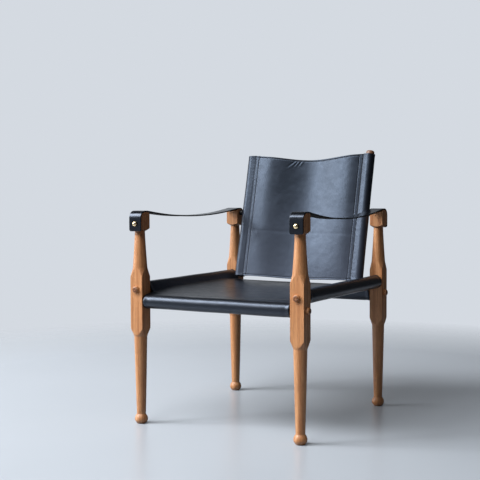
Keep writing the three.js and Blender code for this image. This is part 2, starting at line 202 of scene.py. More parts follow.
# Arm straps and studs
STRAP_HALF_WIDTH = 0.020
STRAP_BOTTOM = 0.546
STRAP_CORNER = 0.006
STRAP_LEATHER = 0.0035
STRAP_EDGE = 0.0011
STRAP_END_STEPS = 0.0012
STRAP_CURL = 0.0012
STRAP_CURL_FROM = 0.09
STRAP_CURL_OVER = 0.12
STRAP_DIP = 0.0007
STRAP_DIP_REACH = 0.009
STRAP_SAG = {"left": 0.017, "right": 0.021}
STUD_SIDES = 40
STUD_HEIGHT = 0.567
STUD_HEAD_RADIUS = 0.007
STUD_HEAD_HEIGHT = 0.006
STUD_RIM = 0.0012
STUD_SHANK_RADIUS = 0.0025
STUD_SHANK = 0.0218
STUD_POINT = 0.004
STUD_POINT_RADIUS = 0.0003
STUD_EDGE = 0.0003
STUD_EDGE_HEIGHT = 0.0002

# Hems and seams
TAB_WIDTH = 0.013
SEAT_SEAM_ROW = 0.002
BACK_SEAM_ROW = 0.0015
SECOND_ROW = 0.0105
HEM_ROW = 0.0045
GROOVE_DEPTH = 0.0009
GROOVE_WIDTH = 0.0013
SEAM_FADE = 0.004
PUCKER_WAVES = (0.0104, 0.0171)
PUCKER_SECOND = 0.6
PUCKER_REACH = 0.009
ROW_POINTS = 400
ROW_END = 3
STITCH_RISE = 1.3
STITCH_SINK = 0.75
STITCH_THINNEST = 0.06
THREAD_SIDES = 6

# Stage
CAMERA_PLACE = (1.37154, -2.564182, 0.65323)
CAMERA_TURN = (29.659, 90 - 2.743, -0.223)
CAMERA_LENS = 74.087
CAMERA_SENSOR = 36.0
LAMP_TARGET = (0.0, 0.0, 0.4)
LAMP_COLOUR = (0.97, 0.985, 1.0)
EVEN_LIGHT = (0.95, 0.95, 0.97)
SIDE_LAMP_SHARE = 0.22
# Cones of directions that show the backdrop in reflections: the middle direction, its cosine at
# the rim and where the cone is full, and the share shown outside and inside
BACKDROP_CONES = (
    ((-0.77, 0.64, 0.0), 0.78, 0.95, 0.07, 1),
    ((-0.50, -0.866, 0.0), 0.90, 1.0, 0.0, 0.8),
)
FLOOR_RINGS = (0.6, 1.2, 1.8, 2.4)
FLOOR_SIDES = 72
FLOOR_FADE = (1.3, 2.2)


# Settings


def colour_setting(name, description, default):
    """A colour for the panel, in linear light."""
    return FloatVectorProperty(name=name, description=description, default=default,
                               min=0.0, max=1.0, subtype="COLOR")


def length_setting(name, description, default, low, high):
    """A length for the panel."""
    return FloatProperty(name=name, description=description, default=default,
                         min=low, max=high, unit="LENGTH")


def power_setting(name, description, default):
    """A lamp's power for the panel."""
    return FloatProperty(name=name, description=description, default=default,
                         min=0.0, max=5000.0, subtype="POWER")


class ChairSizes(bpy.types.PropertyGroup):
    """Sizes of the leatherwork that can change without touching the frame."""

    stitch_pitch: length_setting(
        "Stitch pitch", "From one stitch to the next", 0.0052, 0.003, 0.012)
    stitch_share: FloatProperty(
        name="Stitch length", description="Share of the pitch that a stitch covers",
        default=0.72, min=0.4, max=0.95, subtype="FACTOR")
    thread_radius: length_setting(
        "Thread radius", "Half the thickness of the thread", 0.00045, 0.0002, 0.001)
    pucker_depth: length_setting(
        "Pucker depth", "How far the leather ripples beside a seam", 0.00028, 0.0, 0.001)
    crease_depth: length_setting(
        "Crease depth", "Depth of the creases at the top of the back", 0.0014, 0.0, 0.004)


class ChairColours(bpy.types.PropertyGroup):
    """Colours of the chair's materials, in linear light."""

    wood_light: colour_setting(
        "Wood, light", "Early wood between the growth rings", (0.75, 0.390, 0.180))
    wood_dark: colour_setting(
        "Wood, dark", "Late wood of the growth rings", (0.31, 0.095, 0.022))
    wood_patch: colour_setting(
        "Wood, patches", "Redder patches of the wood", (0.62, 0.25, 0.085))
    leather: colour_setting(
        "Leather", "Dyed grain side of the leather", (0.005, 0.0055, 0.0075))
    flesh_side: colour_setting(
        "Flesh side", "Rough inner side of the leather", (0.024, 0.022, 0.0235))
    thread: colour_setting("Thread", "Waxed thread of the seams", (0.045, 0.048, 0.056))
    brass: colour_setting("Brass", "Polished brass of the studs and pivots", (0.83, 0.62, 0.31))


class StageSettings(bpy.types.PropertyGroup):
    """Floor, backdrop and lamps of the studio."""

    floor_colour: colour_setting("Floor", "Colour of the plain floor", (0.44, 0.475, 0.52))
    backdrop_colour: colour_setting(
        "Backdrop", "Colour seen behind the chair", (0.66, 0.70, 0.755))
    key_power: power_setting("Key lamp", "Power of the tall soft lamp on the left", 560.0)
    front_power: power_setting(
        "Front lamp", "Power of the large soft lamp above the front", 260.0)
    even_strength: FloatProperty(
        name="Even light", description="Strength of the even light from all round",
        default=0.06, min=0.0, max=5.0)


# Meshes


def grid_quads(rows, columns, closed, start=0, hoop=False):
    """Corner indices of the quads between neighbouring points of a grid. A closed grid joins its
    last column to its first, and a hoop its last row to its first too."""
    index = np.arange(rows * columns).reshape(rows, columns) + start
    if hoop:
        index = np.vstack([index, index[:1]])
    if closed:
        index = np.hstack([index, index[:, :1]])
    return np.stack(
        [index[:-1, :-1], index[:-1, 1:], index[1:, 1:], index[1:, :-1]], axis=-1
    ).reshape(-1, 4)


def new_mesh(name, vertices, faces):
    """A mesh from an array of points and a list of faces."""
    mesh = bpy.data.meshes.new(name)
    mesh.from_pydata(vertices.reshape(-1, 3).tolist(), [], faces)
    return mesh


def new_object(name, mesh):
    """A linked object for a mesh, shaded smooth."""
    mesh.shade_smooth()
    piece = bpy.data.objects.new(name, mesh)
    bpy.context.scene.collection.objects.link(piece)
    return piece


def closed_tube(name, points):
    """A closed mesh from a grid of rings (rings, points round, xyz); each end is closed by a fan
    to the middle of its last ring."""
    rings, around = points.shape[:2]
    vertices = np.vstack([points.reshape(-1, 3), points[0].mean(0), points[-1].mean(0)])
    quads = grid_quads(rings, around, True)
    first, last = np.arange(around), np.arange(around) + (rings - 1) * around
    ends = np.full(around, rings * around)
    fans = np.vstack([
        np.column_stack([ends, np.roll(first, -1), first]),
        np.column_stack([ends + 1, last, np.roll(last, -1)]),
    ])
    mesh = new_mesh(name, vertices, quads.tolist() + fans.tolist())
    face_outwards(mesh)
    return new_object(name, mesh)


def face_outwards(mesh):
    """Turns the faces of a closed mesh outwards."""
    work = bmesh.new()
    work.from_mesh(mesh)
    bmesh.ops.recalc_face_normals(work, faces=work.faces[:])
    if work.calc_volume(signed=True) < 0:
        bmesh.ops.reverse_faces(work, faces=work.faces[:])
    work.to_mesh(mesh)
    work.free()


def between(start, end, share):
    """The value a share of the way from a start to an end."""
    return start + (end - start) * share


def bell(distance, width):
    """A Gaussian bell: 1 at no distance, and next to nothing past two widths."""
    return np.exp(-(distance / width) ** 2)


def line_distances(line):
    """Distance walked along a line of points, from its first to each of them."""
    return np.concatenate([[0], np.cumsum(np.linalg.norm(np.diff(line, axis=0), axis=1))])


def section_distances(inwards, upwards):
    """Distance walked along each of several sections, from its start to each of its points."""
    steps = np.hypot(np.diff(inwards, axis=1), np.diff(upwards, axis=1))
    return np.hstack([np.zeros((inwards.shape[0], 1)), np.cumsum(steps, axis=1)])


def leather_sheet(name, grids, thickness, facing):
    """One sheet from grids of points that share edges: the points are joined, the faces turned to
    the grain side, and the sheet is given its thickness. The first grid's middle faces the
    direction given."""
    starts = np.cumsum([0] + [grid.shape[0] * grid.shape[1] for grid in grids])
    quads = np.vstack([
        grid_quads(grid.shape[0], grid.shape[1], False, start)
        for grid, start in zip(grids, starts)
    ])
    vertices = np.vstack([grid.reshape(-1, 3) for grid in grids])
    mesh = new_mesh(name, vertices, quads.tolist())
    work = bmesh.new()
    work.from_mesh(mesh)
    bmesh.ops.remove_doubles(work, verts=work.verts[:], dist=ONE_POINT)
    bmesh.ops.recalc_face_normals(work, faces=work.faces[:])
    work.faces.ensure_lookup_table()
    rows, columns = grids[0].shape[:2]
    middle = (rows // 2) * (columns - 1) + columns // 2
    if work.faces[middle].normal.dot(Vector(facing)) < 0:
        bmesh.ops.reverse_faces(work, faces=work.faces[:])
    work.to_mesh(mesh)
    work.free()
    sheet = new_object(name, mesh)
    solidify = sheet.modifiers.new("thickness", "SOLIDIFY")
    solidify.thickness = thickness
    solidify.offset = 0.0
    solidify.use_even_offset = True
    solidify.material_offset = 1
    solidify.material_offset_rim = 2
    return sheet


def turned_piece(name, along, radius, sides, axis, centre):
    """A solid of revolution: each radius is carried round the axis at its place along it."""
    axis = np.array(axis, dtype=float)
    across = np.array([0.0, 0.0, 1.0]) if abs(axis[2]) < 0.5 else np.array([1.0, 0.0, 0.0])
    across -= axis * across.dot(axis)
    across /= np.linalg.norm(across)
    other = np.cross(axis, across)
    turn = np.linspace(0, 2 * np.pi, sides, endpoint=False)
    ring = np.cos(turn)[:, None] * across + np.sin(turn)[:, None] * other
    points = (
        np.array(centre)
        + along[:, None, None] * axis
        + radius[:, None, None] * ring[None]
    )
    return closed_tube(name, points)


def stepped(*stops):
    """Values that run evenly through the stops: (value, count), ... with the last count unused."""
    runs = [
        np.linspace(start, end, count, endpoint=False)
        for (start, count), (end, _) in zip(stops[:-1], stops[1:])
    ]
    return np.concatenate(runs + [[stops[-1][0]]])


def dress(piece, finishes, slot, body, *nodes):
    """Gives a piece its finishes, by name, and its place in the frame."""
    for kind in finishes:
        piece.data.materials.append(finish_of(kind))
    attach(piece, body)
    if nodes:
        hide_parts(*nodes)
    return piece


# Shader nodes and finishes


def feed(tree, socket, value):
    """Links a socket, or sets its plain value."""
    if isinstance(value, bpy.types.NodeSocket):
        tree.links.new(value, socket)
    else:
        socket.default_value = value


def add_node(tree, kind, inputs, **settings):
    """A shader node with its settings; its inputs are fed by name or by number."""
    node = tree.nodes.new("ShaderNode" + kind)
    for name, value in settings.items():
        setattr(node, name, value)
    for socket, value in inputs.items():
        feed(tree, node.inputs[socket], value)
    return node


def new_material(name):
    """A node material: its tree and its shader."""
    material = bpy.data.materials.new(name)
    material.use_nodes = True
    return material, material.node_tree, material.node_tree.nodes["Principled BSDF"]


def finish_with(tree, shader, **inputs):
    """Feeds the shader's sockets; a socket's name is written with _ in place of its spaces."""
    for name, value in inputs.items():
        feed(tree, shader.inputs[name.replace("_", " ")], value)


def piece_coordinates(tree, rotation=(0, 0, 0), scale=(1, 1, 1), source=None):
    """The piece's own coordinates, turned and stretched."""
    if source is None:
        source = tree.nodes.new("ShaderNodeTexCoord").outputs["Object"]
    mapping = add_node(tree, "Mapping", {"Vector": source, "Rotation": rotation, "Scale": scale})
    return mapping.outputs["Vector"]


def noise(tree, vector, scale, detail=2.0, roughness=0.5, distortion=0.0):
    """Soft noise over a vector."""
    inputs = {"Vector": vector, "Scale": scale, "Detail": detail, "Roughness": roughness,
              "Distortion": distortion}
    return add_node(tree, "TexNoise", inputs).outputs["Fac"]


def layers(tree, place, scale, detail, roughness):
    """Noise along one line only, for layers such as growth rings."""
    inputs = {"W": place, "Scale": scale, "Detail": detail, "Roughness": roughness}
    return add_node(tree, "TexNoise", inputs, noise_dimensions="1D").outputs["Fac"]


def cells(tree, vector, scale):
    """Distance from the cells' centres, smoothed where cells meet."""
    inputs = {"Vector": vector, "Scale": scale}
    return add_node(tree, "TexVoronoi", inputs, feature="SMOOTH_F1").outputs["Distance"]


def split(tree, vector):
    """The X, Y and Z of a vector."""
    return add_node(tree, "SeparateXYZ", {"Vector": vector}).outputs


def measure(tree, operation, *vectors):
    """A number worked out from vectors, such as a length or a dot product."""
    node = add_node(tree, "VectorMath", dict(enumerate(vectors)), operation=operation)
    return node.outputs["Value"]


def calculate(tree, operation, *numbers):
    """One step of arithmetic."""
    return add_node(tree, "Math", dict(enumerate(numbers)), operation=operation).outputs["Value"]


def rescale(tree, value, old_low, old_high, new_low, new_high):
    """A value moved from one range to another, and kept inside it."""
    numbers = (value, old_low, old_high, new_low, new_high)
    return add_node(tree, "MapRange", dict(enumerate(numbers))).outputs["Result"]


def blend_colour(tree, share, first, second):
    """The second colour laid over the first by a share."""
    return add_node(tree, "Mix", {0: share, 6: first, 7: second}, data_type="RGBA").outputs[2]


def raised(tree, height, distance, strength=1.0, below=None):
    """A bump from a height, laid over another bump."""
    inputs = {"Height": height, "Distance": distance, "Strength": strength}
    if below is not None:
        inputs["Normal"] = below
    return add_node(tree, "Bump", inputs).outputs["Normal"]


def opaque(colour, share=1.0):
    """A colour with its alpha, made lighter or darker."""
    return tuple(share * part for part in colour) + (1.0,)


def wood_material(name, along, colours, share=1.0):
    """Oiled hardwood with straight grain along one direction, its colours darkened by a share,
    which paints shade over a whole piece.

    Growth layers are noise across one diagonal of the stock, bent by slow noise. Fibres, pores
    and streaks are noise stretched along the grain. End grain is darker."""
    material, tree, shader = new_material(name)
    turn = Vector(along).rotation_difference(Vector((0, 0, 1))).to_euler()
    straight = piece_coordinates(tree, rotation=turn)
    slow = piece_coordinates(tree, scale=(1, 1, 0.16), source=straight)
    wander = noise(tree, slow, 16, 2)
    parts = split(tree, straight)
    across = calculate(tree, "MULTIPLY_ADD", parts["X"], 0.82,
                       calculate(tree, "MULTIPLY", parts["Y"], 0.57))
    bent = calculate(tree, "MULTIPLY_ADD", wander, 0.036, across)
    rings = layers(tree, bent, 95, 4, 0.62)
    fibre_place = piece_coordinates(tree, scale=(1, 1, 0.03), source=straight)
    fibres = noise(tree, fibre_place, 900, 2, 0.6)
    streaks = noise(tree, fibre_place, 210, 3, 0.65)
    pore_place = piece_coordinates(tree, scale=(1, 1, 0.045), source=straight)
    pores = rescale(tree, noise(tree, pore_place, 1500, 1), 0.30, 0.42, 1, 0)
    patches = noise(tree, slow, 7, 2)
    tone = calculate(tree, "MULTIPLY_ADD", streaks, 0.7, calculate(tree, "MULTIPLY", rings, 0.7))
    tone = rescale(tree, tone, 0.46, 0.84, 0, 1)
    colour = blend_colour(tree, tone, opaque(colours.wood_dark, share),
                          opaque(colours.wood_light, share))
    colour = blend_colour(tree, rescale(tree, fibres, 0.3, 0.7, 0.45, 0), colour,
                          opaque(colours.wood_dark, 0.75))
    colour = blend_colour(tree, calculate(tree, "MULTIPLY", pores, 0.5), colour,
                          opaque(colours.wood_dark, 0.35))
    colour = blend_colour(tree, rescale(tree, patches, 0.35, 0.65, 0, 0.5), colour,
                          opaque(colours.wood_patch, share))
    normal = tree.nodes.new("ShaderNodeTexCoord").outputs["Normal"]
    facing = calculate(tree, "ABSOLUTE", measure(tree, "DOT_PRODUCT", normal, along))
    end_grain = rescale(tree, facing, 0.5, 0.95, 0, 0.9)
    colour = blend_colour(tree, end_grain, colour, opaque(colours.wood_dark, 0.5))
    bump = raised(tree, pores, -0.00025, 0.8, raised(tree, fibres, 0.00012, 0.6))
    finish_with(tree, shader, Base_Color=colour, Specular_IOR_Level=0.65, Normal=bump,
                Roughness=rescale(tree, streaks, 0.3, 0.7, 0.46, 0.36))
    return material


def leather_material(name, colour, gloss, shine_level, sway, shine_tint, painted_hem_sheen=None):
    """Smooth dyed leather: fine pebbles and pores, slow changes of tone and of shine, soft
    scuffs, and a slow sway of the surface as deep as given.

    Where a hem sheen is given, the colour turns paler downwards: a painted sheen in place of the
    reflection that the lower part of the back catches. Its three numbers are the height where it is
    palest, the height where the painted sheen ends, and the share of the pale colour."""
    material, tree, shader = new_material(name)
    place = piece_coordinates(tree)
    pebbles = cells(tree, place, 620)
    pores = noise(tree, place, 2600, 2)
    slow = noise(tree, place, 9, 3, 0.6)
    cloud = noise(tree, place, 45, 4, 0.6, 0.6)
    scuff_place = piece_coordinates(tree, rotation=(0.2, 0.1, 0.6), scale=(1, 5, 3))
    scuffs = rescale(tree, noise(tree, scuff_place, 30, 6, 0.7, 0.8), 0.60, 0.78, 0, 1)
    tone = blend_colour(tree, rescale(tree, slow, 0.3, 0.7, 0, 1), opaque(colour, 0.72),
                        opaque(colour, 1.3))
    tone = blend_colour(tree, rescale(tree, cloud, 0.35, 0.65, 0, 0.5), tone, opaque(colour, 0.8))
    tone = blend_colour(tree, calculate(tree, "MULTIPLY", scuffs, 0.25), tone, opaque(colour, 2.2))
    # Painted sheen: the colour grows paler towards the hem, in place of reflected light.
    if painted_hem_sheen:
        painted_sheen_share = rescale(tree, split(tree, place)["Z"], *painted_hem_sheen, 0)
        tone = blend_colour(tree, painted_sheen_share, tone, opaque(colour, 5))
    shine = rescale(tree, cloud, 0.3, 0.7, gloss - 0.04, gloss + 0.04)
    bump = raised(tree, slow, sway)
    bump = raised(tree, cloud, 0.0006, 0.035, bump)
    bump = raised(tree, pebbles, 0.00012, 0.08, bump)
    bump = raised(tree, pores, 0.00006, 0.12, bump)
    finish_with(tree, shader, Base_Color=tone, Specular_IOR_Level=shine_level,
                Specular_Tint=shine_tint, Normal=bump,
                Roughness=calculate(tree, "MULTIPLY_ADD", scuffs, 0.06, shine))
    return material


def flesh_material(name, colour):
    """The rough flesh side of the leather: short fibres and no shine."""
    material, tree, shader = new_material(name)
    place = piece_coordinates(tree)
    nap = noise(tree, place, 900, 4, 0.75, 1.2)
    patches = noise(tree, place, 30, 3, 0.6)
    tone = blend_colour(tree, rescale(tree, nap, 0.3, 0.7, 0, 1), opaque(colour, 0.6),
                        opaque(colour, 1.6))
    tone = blend_colour(tree, rescale(tree, patches, 0.35, 0.65, 0, 0.5), tone, opaque(colour, 0.8))
    finish_with(tree, shader, Base_Color=tone, Roughness=0.92, Specular_IOR_Level=0.2,
                Sheen_Weight=0.05, Normal=raised(tree, nap, 0.0004, 0.7))
    return material


def cut_edge_material(name, colour):
    """The cut and waxed edge of the leather: streaks along the layers of the hide."""
    material, tree, shader = new_material(name)
    place = piece_coordinates(tree)
    fibres = noise(tree, place, 700, 4, 0.7)
    tone = blend_colour(tree, fibres, opaque(colour, 0.6), opaque(colour, 1.8))
    finish_with(tree, shader, Base_Color=tone, Roughness=0.5, Specular_IOR_Level=0.3,
                Normal=raised(tree, fibres, 0.0002, 0.6))
    return material


def thread_material(name, colour):
    """Waxed linen thread with its twist."""
    material, tree, shader = new_material(name)
    place = piece_coordinates(tree, rotation=(0.5, 0.6, 0.7))
    twist = noise(tree, place, 3200, 2, 0.7)
    tone = blend_colour(tree, twist, opaque(colour, 0.6), opaque(colour, 1.9))
    finish_with(tree, shader, Base_Color=tone, Roughness=0.55,
                Normal=raised(tree, twist, 0.0001, 0.8))
    return material


def brass_material(name, colour):
    """Polished brass with fine scratches and a little tarnish."""
    material, tree, shader = new_material(name)
    place = piece_coordinates(tree)
    tarnish = noise(tree, place, 260, 4, 0.65)
    scratches = noise(tree, piece_coordinates(tree, scale=(1, 6, 1)), 1800, 2, 0.6)
    tone = blend_colour(tree, rescale(tree, tarnish, 0.45, 0.75, 0, 0.6), opaque(colour),
                        opaque((colour[0] * 0.55, colour[1] * 0.48, colour[2] * 0.4)))
    finish_with(tree, shader, Base_Color=tone, Metallic=1.0,
                Roughness=rescale(tree, tarnish, 0.3, 0.75, 0.2, 0.42),
                Normal=raised(tree, scratches, 0.00004, 0.5))
    return material


def finish_of(kind):
    """A finish by name; it is made once."""
    found = bpy.data.materials.get(kind)
    if found:
        return found
    colours = bpy.context.scene.chair_colours
    # The cool tints of the leather's shine are a painted colour of the light: they give its
    # reflections a bluish light that the lamps don't have.
    cool, cooler = (0.66, 0.78, 1.0, 1.0), (0.55, 0.72, 1.0, 1.0)
    makers = {
        "leg_wood": lambda: wood_material(kind, (0, 0, 1), colours),
        "cross_rail_wood": lambda: wood_material(kind, (1, 0, 0), colours),
        "side_rail_wood": lambda: wood_material(kind, (0, 1, 0), colours),
        # The uprights' wood is darkened to 0.3 of its colours: painted shade on the ends that stand
        # above the leather.
        "upright_wood_painted_shade": lambda: wood_material(kind, BACK_AXIS, colours, 0.3),
        "seat_grain_side": lambda: leather_material(
            kind, colours.leather, gloss=0.35, shine_level=0.63, sway=0.001, shine_tint=cool),
        "back_grain_side": lambda: leather_material(
            kind, [1.25 * part for part in colours.leather], gloss=0.40, shine_level=0.5,
            # The back is painted paler towards its hem: a painted sheen, not wear.
            sway=0.0022, shine_tint=cooler, painted_hem_sheen=(0.42, 0.67, 0.95)),
        "strap_grain_side": lambda: leather_material(
            kind, [0.6 * part for part in colours.leather], gloss=0.25, shine_level=0.5,
            sway=0.0005, shine_tint=cool),
        "flesh_side": lambda: flesh_material(kind, colours.flesh_side),
        "strap_flesh_side": lambda: flesh_material(
            kind, [0.3 * part for part in colours.flesh_side]),
        "cut_edge": lambda: cut_edge_material(kind, [0.6 * part for part in colours.leather]),
        "thread": lambda: thread_material(kind, colours.thread),
        "brass": lambda: brass_material(kind, colours.brass),
    }
    return makers[kind]()


# Turned pieces


def leg_outline(height):
    """Turned radius at each height: a rounded foot (quarter sine, then a parabola), a calf that
    swells as a power of the share of its length, two shoulders, and a collar that falls to the
    neck. It is infinite at the block and the head, where the square blank shows."""
    def share(low, high):
        """How far each height has come from a low one to a high one, from 0 to 1."""
        return np.clip((height - low) / (high - low), 0, 1)

    calf = share(FOOT_LENGTH, CALF_TOP) ** CALF_SWELL
    lower = share(CALF_TOP, BLOCK_BOTTOM) ** SHOULDER_SWELL
    upper = (1 - share(BLOCK_TOP, COLLAR_HEIGHT)) ** SHOULDER_SWELL
    neck = (1 - share(COLLAR_HEIGHT, NECK_TOP)) ** NECK_SWELL
    shapes = {
        FOOT_WIDE_HEIGHT: between(FOOT_BASE_RADIUS, FOOT_RADIUS,
                                  np.sin(np.pi / 2 * share(0, FOOT_WIDE_HEIGHT))),
        FOOT_LENGTH: between(ANKLE_RADIUS, FOOT_RADIUS,
                             1 - share(FOOT_WIDE_HEIGHT, FOOT_LENGTH) ** 2),
        CALF_TOP: between(ANKLE_RADIUS, CALF_RADIUS, calf),
        BLOCK_BOTTOM: between(CALF_RADIUS, LEG_CORNER, lower),
        BLOCK_TOP: np.full_like(height, np.inf),
        COLLAR_HEIGHT: between(COLLAR_RADIUS, LEG_CORNER, upper),
        NECK_TOP: between(NECK_RADIUS, COLLAR_RADIUS, neck),
        HEAD_BOTTOM: between(NECK_RADIUS, LEG_CORNER, share(NECK_TOP, HEAD_BOTTOM)),
    }
    return np.select([height <= top for top in shapes], list(shapes.values()), np.inf)


def rounded_half(height, half, radius):
    """Half a width near the top: it follows a quarter circle of the radius up to the top."""
    up = np.clip(height - (LEG_LENGTH - radius), 0, radius)
    return half - radius + np.sqrt(radius ** 2 - up ** 2)


def make_leg(name, centre, outwards):
    """A leg as radius over height and angle: the smallest of the turned outline and the two
    half-widths of the square blank, joined by a high power mean so that edges are just broken.
    The head's larger rounding faces outwards, to the front (-1) or the back (1)."""
    heights = stepped(
        (0.0, 2), (0.0006, 12), (FOOT_WIDE_HEIGHT, 18), (FOOT_LENGTH - 0.0008, 4),
        (FOOT_LENGTH + 0.0008, 34), (CALF_TOP - 0.004, 42), (BLOCK_BOTTOM + 0.001, 14),
        (BLOCK_TOP - 0.001, 46), (COLLAR_HEIGHT + 0.003, 30), (NECK_TOP - 0.001, 24),
        (HEAD_BOTTOM + 0.001, 6), (LEG_LENGTH - HEAD_OUTER_ROUND, 16),
        (LEG_LENGTH - 0.0016, 8), (LEG_LENGTH, 1))
    lean = np.linspace(-1, 1, LEG_STEPS_PER_SIDE, endpoint=False)
    quarter = np.pi / 4 * np.sin(np.pi / 2 * lean)
    angle = np.concatenate([quarter + np.pi / 2 * i for i in range(4)])
    turned = leg_outline(heights)[:, None]
    deep = np.where(
        np.sin(angle)[None] * outwards > 0,
        rounded_half(heights, LEG_HALF, HEAD_OUTER_ROUND)[:, None],
        rounded_half(heights, LEG_HALF, HEAD_INNER_ROUND)[:, None])
    wide = rounded_half(heights, LEG_HALF, EDGE_BREAK)[:, None]
    broken = EDGE_BREAK - np.clip(heights, 0, EDGE_BREAK)[:, None]
    turned = turned - (EDGE_BREAK - np.sqrt(np.clip(EDGE_BREAK ** 2 - broken ** 2, 0, None)))
    radius = (
        (np.abs(np.cos(angle)) / wide) ** EDGE_SHARPNESS
        + (np.abs(np.sin(angle)) / deep) ** EDGE_SHARPNESS
        + (1 / turned) ** EDGE_SHARPNESS
    ) ** (-1 / EDGE_SHARPNESS)
    ring = np.stack([np.cos(angle), np.sin(angle), np.zeros_like(angle)], axis=-1)
    points = radius[..., None] * ring + heights[:, None, None] * np.array([0, 0, 1.0])
    shrink = np.array([0.75, 0.4])[:, None, None]
    top = points[-1] * np.array([1, 1, 0]) * shrink + np.array([0, 0, LEG_LENGTH])
    sole = points[0] * np.array([1, 1, 0]) * shrink[::-1]
    points = np.concatenate([sole, points, top])
    points += np.array([centre.x, centre.y, 0])
    return closed_tube(name, points)


def rail_outline(outer_face):
    """Places along a rail and its radius there: a nub rounded by a quarter circle, with a dimple
    that is a squared parabola, a tapered tenon, and a shoulder that swells to the rail as a
    square; then the same back to the other end."""
    inner_face = outer_face - 2 * LEG_HALF
    tip = outer_face + NUB_LENGTH
    bowl = np.linspace(0.08, 1, 6) * DIMPLE_RADIUS
    flat = np.linspace(DIMPLE_RADIUS, TENON_RADIUS - NUB_ROUND, 5)[1:]
    turn = np.linspace(0, np.pi / 2, 8)[1:]
    radius = [bowl, flat, TENON_RADIUS - NUB_ROUND + NUB_ROUND * np.sin(turn)]
    along = [tip - DIMPLE_DEPTH * (1 - (bowl / DIMPLE_RADIUS) ** 2) ** 2, np.full(flat.size, tip),
             tip - NUB_ROUND + NUB_ROUND * np.cos(turn)]
    left = 1 - np.linspace(0, 1, 14)
    radius += [np.array([TENON_RADIUS]),
               RAIL_RADIUS + (TENON_ROOT_RADIUS - RAIL_RADIUS) * left ** 2]
    along += [np.array([outer_face]), inner_face - RAIL_SHOULDER * (1 - left)]
    radius, along = np.concatenate(radius), np.concatenate(along)
    middle = np.linspace(-along[-1], along[-1], 12)[1:-1]
    return (
        np.concatenate([-along, middle, along[::-1]]),
        np.concatenate([radius, np.full(middle.size, RAIL_RADIUS), radius[::-1]]),
    )


def upright_outline(top):
    """Places along an upright and its radius: a flat foot with a broken edge, a straight body,
    and a top rounded by a quarter circle."""
    turn = np.linspace(0, np.pi / 2, 10)
    foot = np.array([0.2, 0.7, 0.97, 1.0]) * UPRIGHT_RADIUS
    foot_along = UPRIGHT_BOTTOM + np.array([0, 0, 0, EDGE_BREAK])
    body_along = np.linspace(UPRIGHT_BOTTOM + 0.002, top - UPRIGHT_ROUND, 30)[:-1]
    dome = UPRIGHT_RADIUS - UPRIGHT_ROUND + UPRIGHT_ROUND * np.cos(turn)
    dome_along = top - UPRIGHT_ROUND + UPRIGHT_ROUND * np.sin(turn)
    cap = np.array([0.7, 0.3]) * (UPRIGHT_RADIUS - UPRIGHT_ROUND)
    return (
        np.concatenate([foot_along, body_along, dome_along, [top, top]]),
        np.concatenate([foot, np.full(body_along.size, UPRIGHT_RADIUS), dome, cap]),
    )


def make_spacer(name, centre, half):
    """A spacer: a rounded rectangle, from the bore to the rim, carried round the X axis."""
    turn = np.linspace(0, np.pi / 2, 5)
    bore = PIN_RADIUS + SNUG_GAP
    rim = SPACER_RADIUS - SPACER_EDGE + SPACER_EDGE * np.cos(turn)
    face = half - SPACER_EDGE + SPACER_EDGE * np.sin(turn)
    radius = np.concatenate([rim[::-1], rim, [bore, bore]])
    along = np.concatenate([-face[::-1], face, [half, -half]])
    around = np.linspace(0, 2 * np.pi, SPACER_SIDES, endpoint=False)
    points = np.stack([
        centre.x + along[None] + 0 * around[:, None],
        centre.y + radius[None] * np.cos(around)[:, None],
        centre.z + radius[None] * np.sin(around)[:, None],
    ], axis=-1)
    mesh = new_mesh(name, points, grid_quads(*points.shape[:2], True, hoop=True).tolist())
    face_outwards(mesh)
    return new_object(name, mesh)


# Leather


def loop_section(radius, seam_in, seam_up, return_up, slack, tab):
    """Section of leather that leaves a seam, goes round a rod and comes back under the seam.

    A straight run touches the circle, the circle is followed round the far side, and another
    straight run comes back and ends in a tab. Slack lowers the second half of the circle.
    Returns places inwards and upwards from the rod, one row for each seam height."""
    seam_up = np.atleast_1d(seam_up)[:, None]
    return_up = np.atleast_1d(return_up)[:, None]
    start = np.arctan2(seam_up, seam_in) + np.arccos(radius / np.hypot(seam_in, seam_up))
    low_up = return_up + slack
    end = 2 * np.pi + np.arctan2(low_up, seam_in) - np.arccos(radius / np.hypot(seam_in, low_up))
    out = np.linspace(0, 1, 7)[None, :-1]
    upper = start + (np.pi - start) * np.linspace(0, 1, 15)[None]
    lower = np.pi + (end - np.pi) * np.linspace(0, 1, 19)[None, 1:]
    inwards = [seam_in + (radius * np.cos(start) - seam_in) * out, radius * np.cos(upper)]
    upwards = [seam_up + (radius * np.sin(start) - seam_up) * out, radius * np.sin(upper)]
    if slack > 0:
        inwards.append(np.full((seam_up.shape[0], 1), -radius))
        upwards.append(np.full((seam_up.shape[0], 1), -slack / 2))
    inwards.append(radius * np.cos(lower))
    upwards.append(radius * np.sin(lower) - slack)
    back = np.linspace(0, 1, 9)[None, 1:]
    tail = np.linspace(0, 1, 5)[None, 1:]
    inwards.append(inwards[-1][:, -1:] + (seam_in - inwards[-1][:, -1:]) * back)
    upwards.append(upwards[-1][:, -1:] + (return_up - upwards[-1][:, -1:]) * back)
    inwards.append(seam_in + tab * tail + 0 * seam_up)
    upwards.append(return_up + 0 * tail)
    inwards, upwards = np.hstack(inwards), np.hstack(upwards)
    for _ in range(2):
        inwards[:, 1:-1] = (inwards[:, :-2] + 2 * inwards[:, 1:-1] + inwards[:, 2:]) / 4
        upwards[:, 1:-1] = (upwards[:, :-2] + 2 * upwards[:, 1:-1] + upwards[:, 2:]) / 4
    return inwards, upwards


def section_normals(inwards, upwards):
    """Directions that point out of a section, as (inwards, upwards) pairs."""
    step_in, step_up = np.gradient(inwards, axis=1), np.gradient(upwards, axis=1)
    length = np.hypot(step_in, step_up)
    return step_up / length, -step_in / length


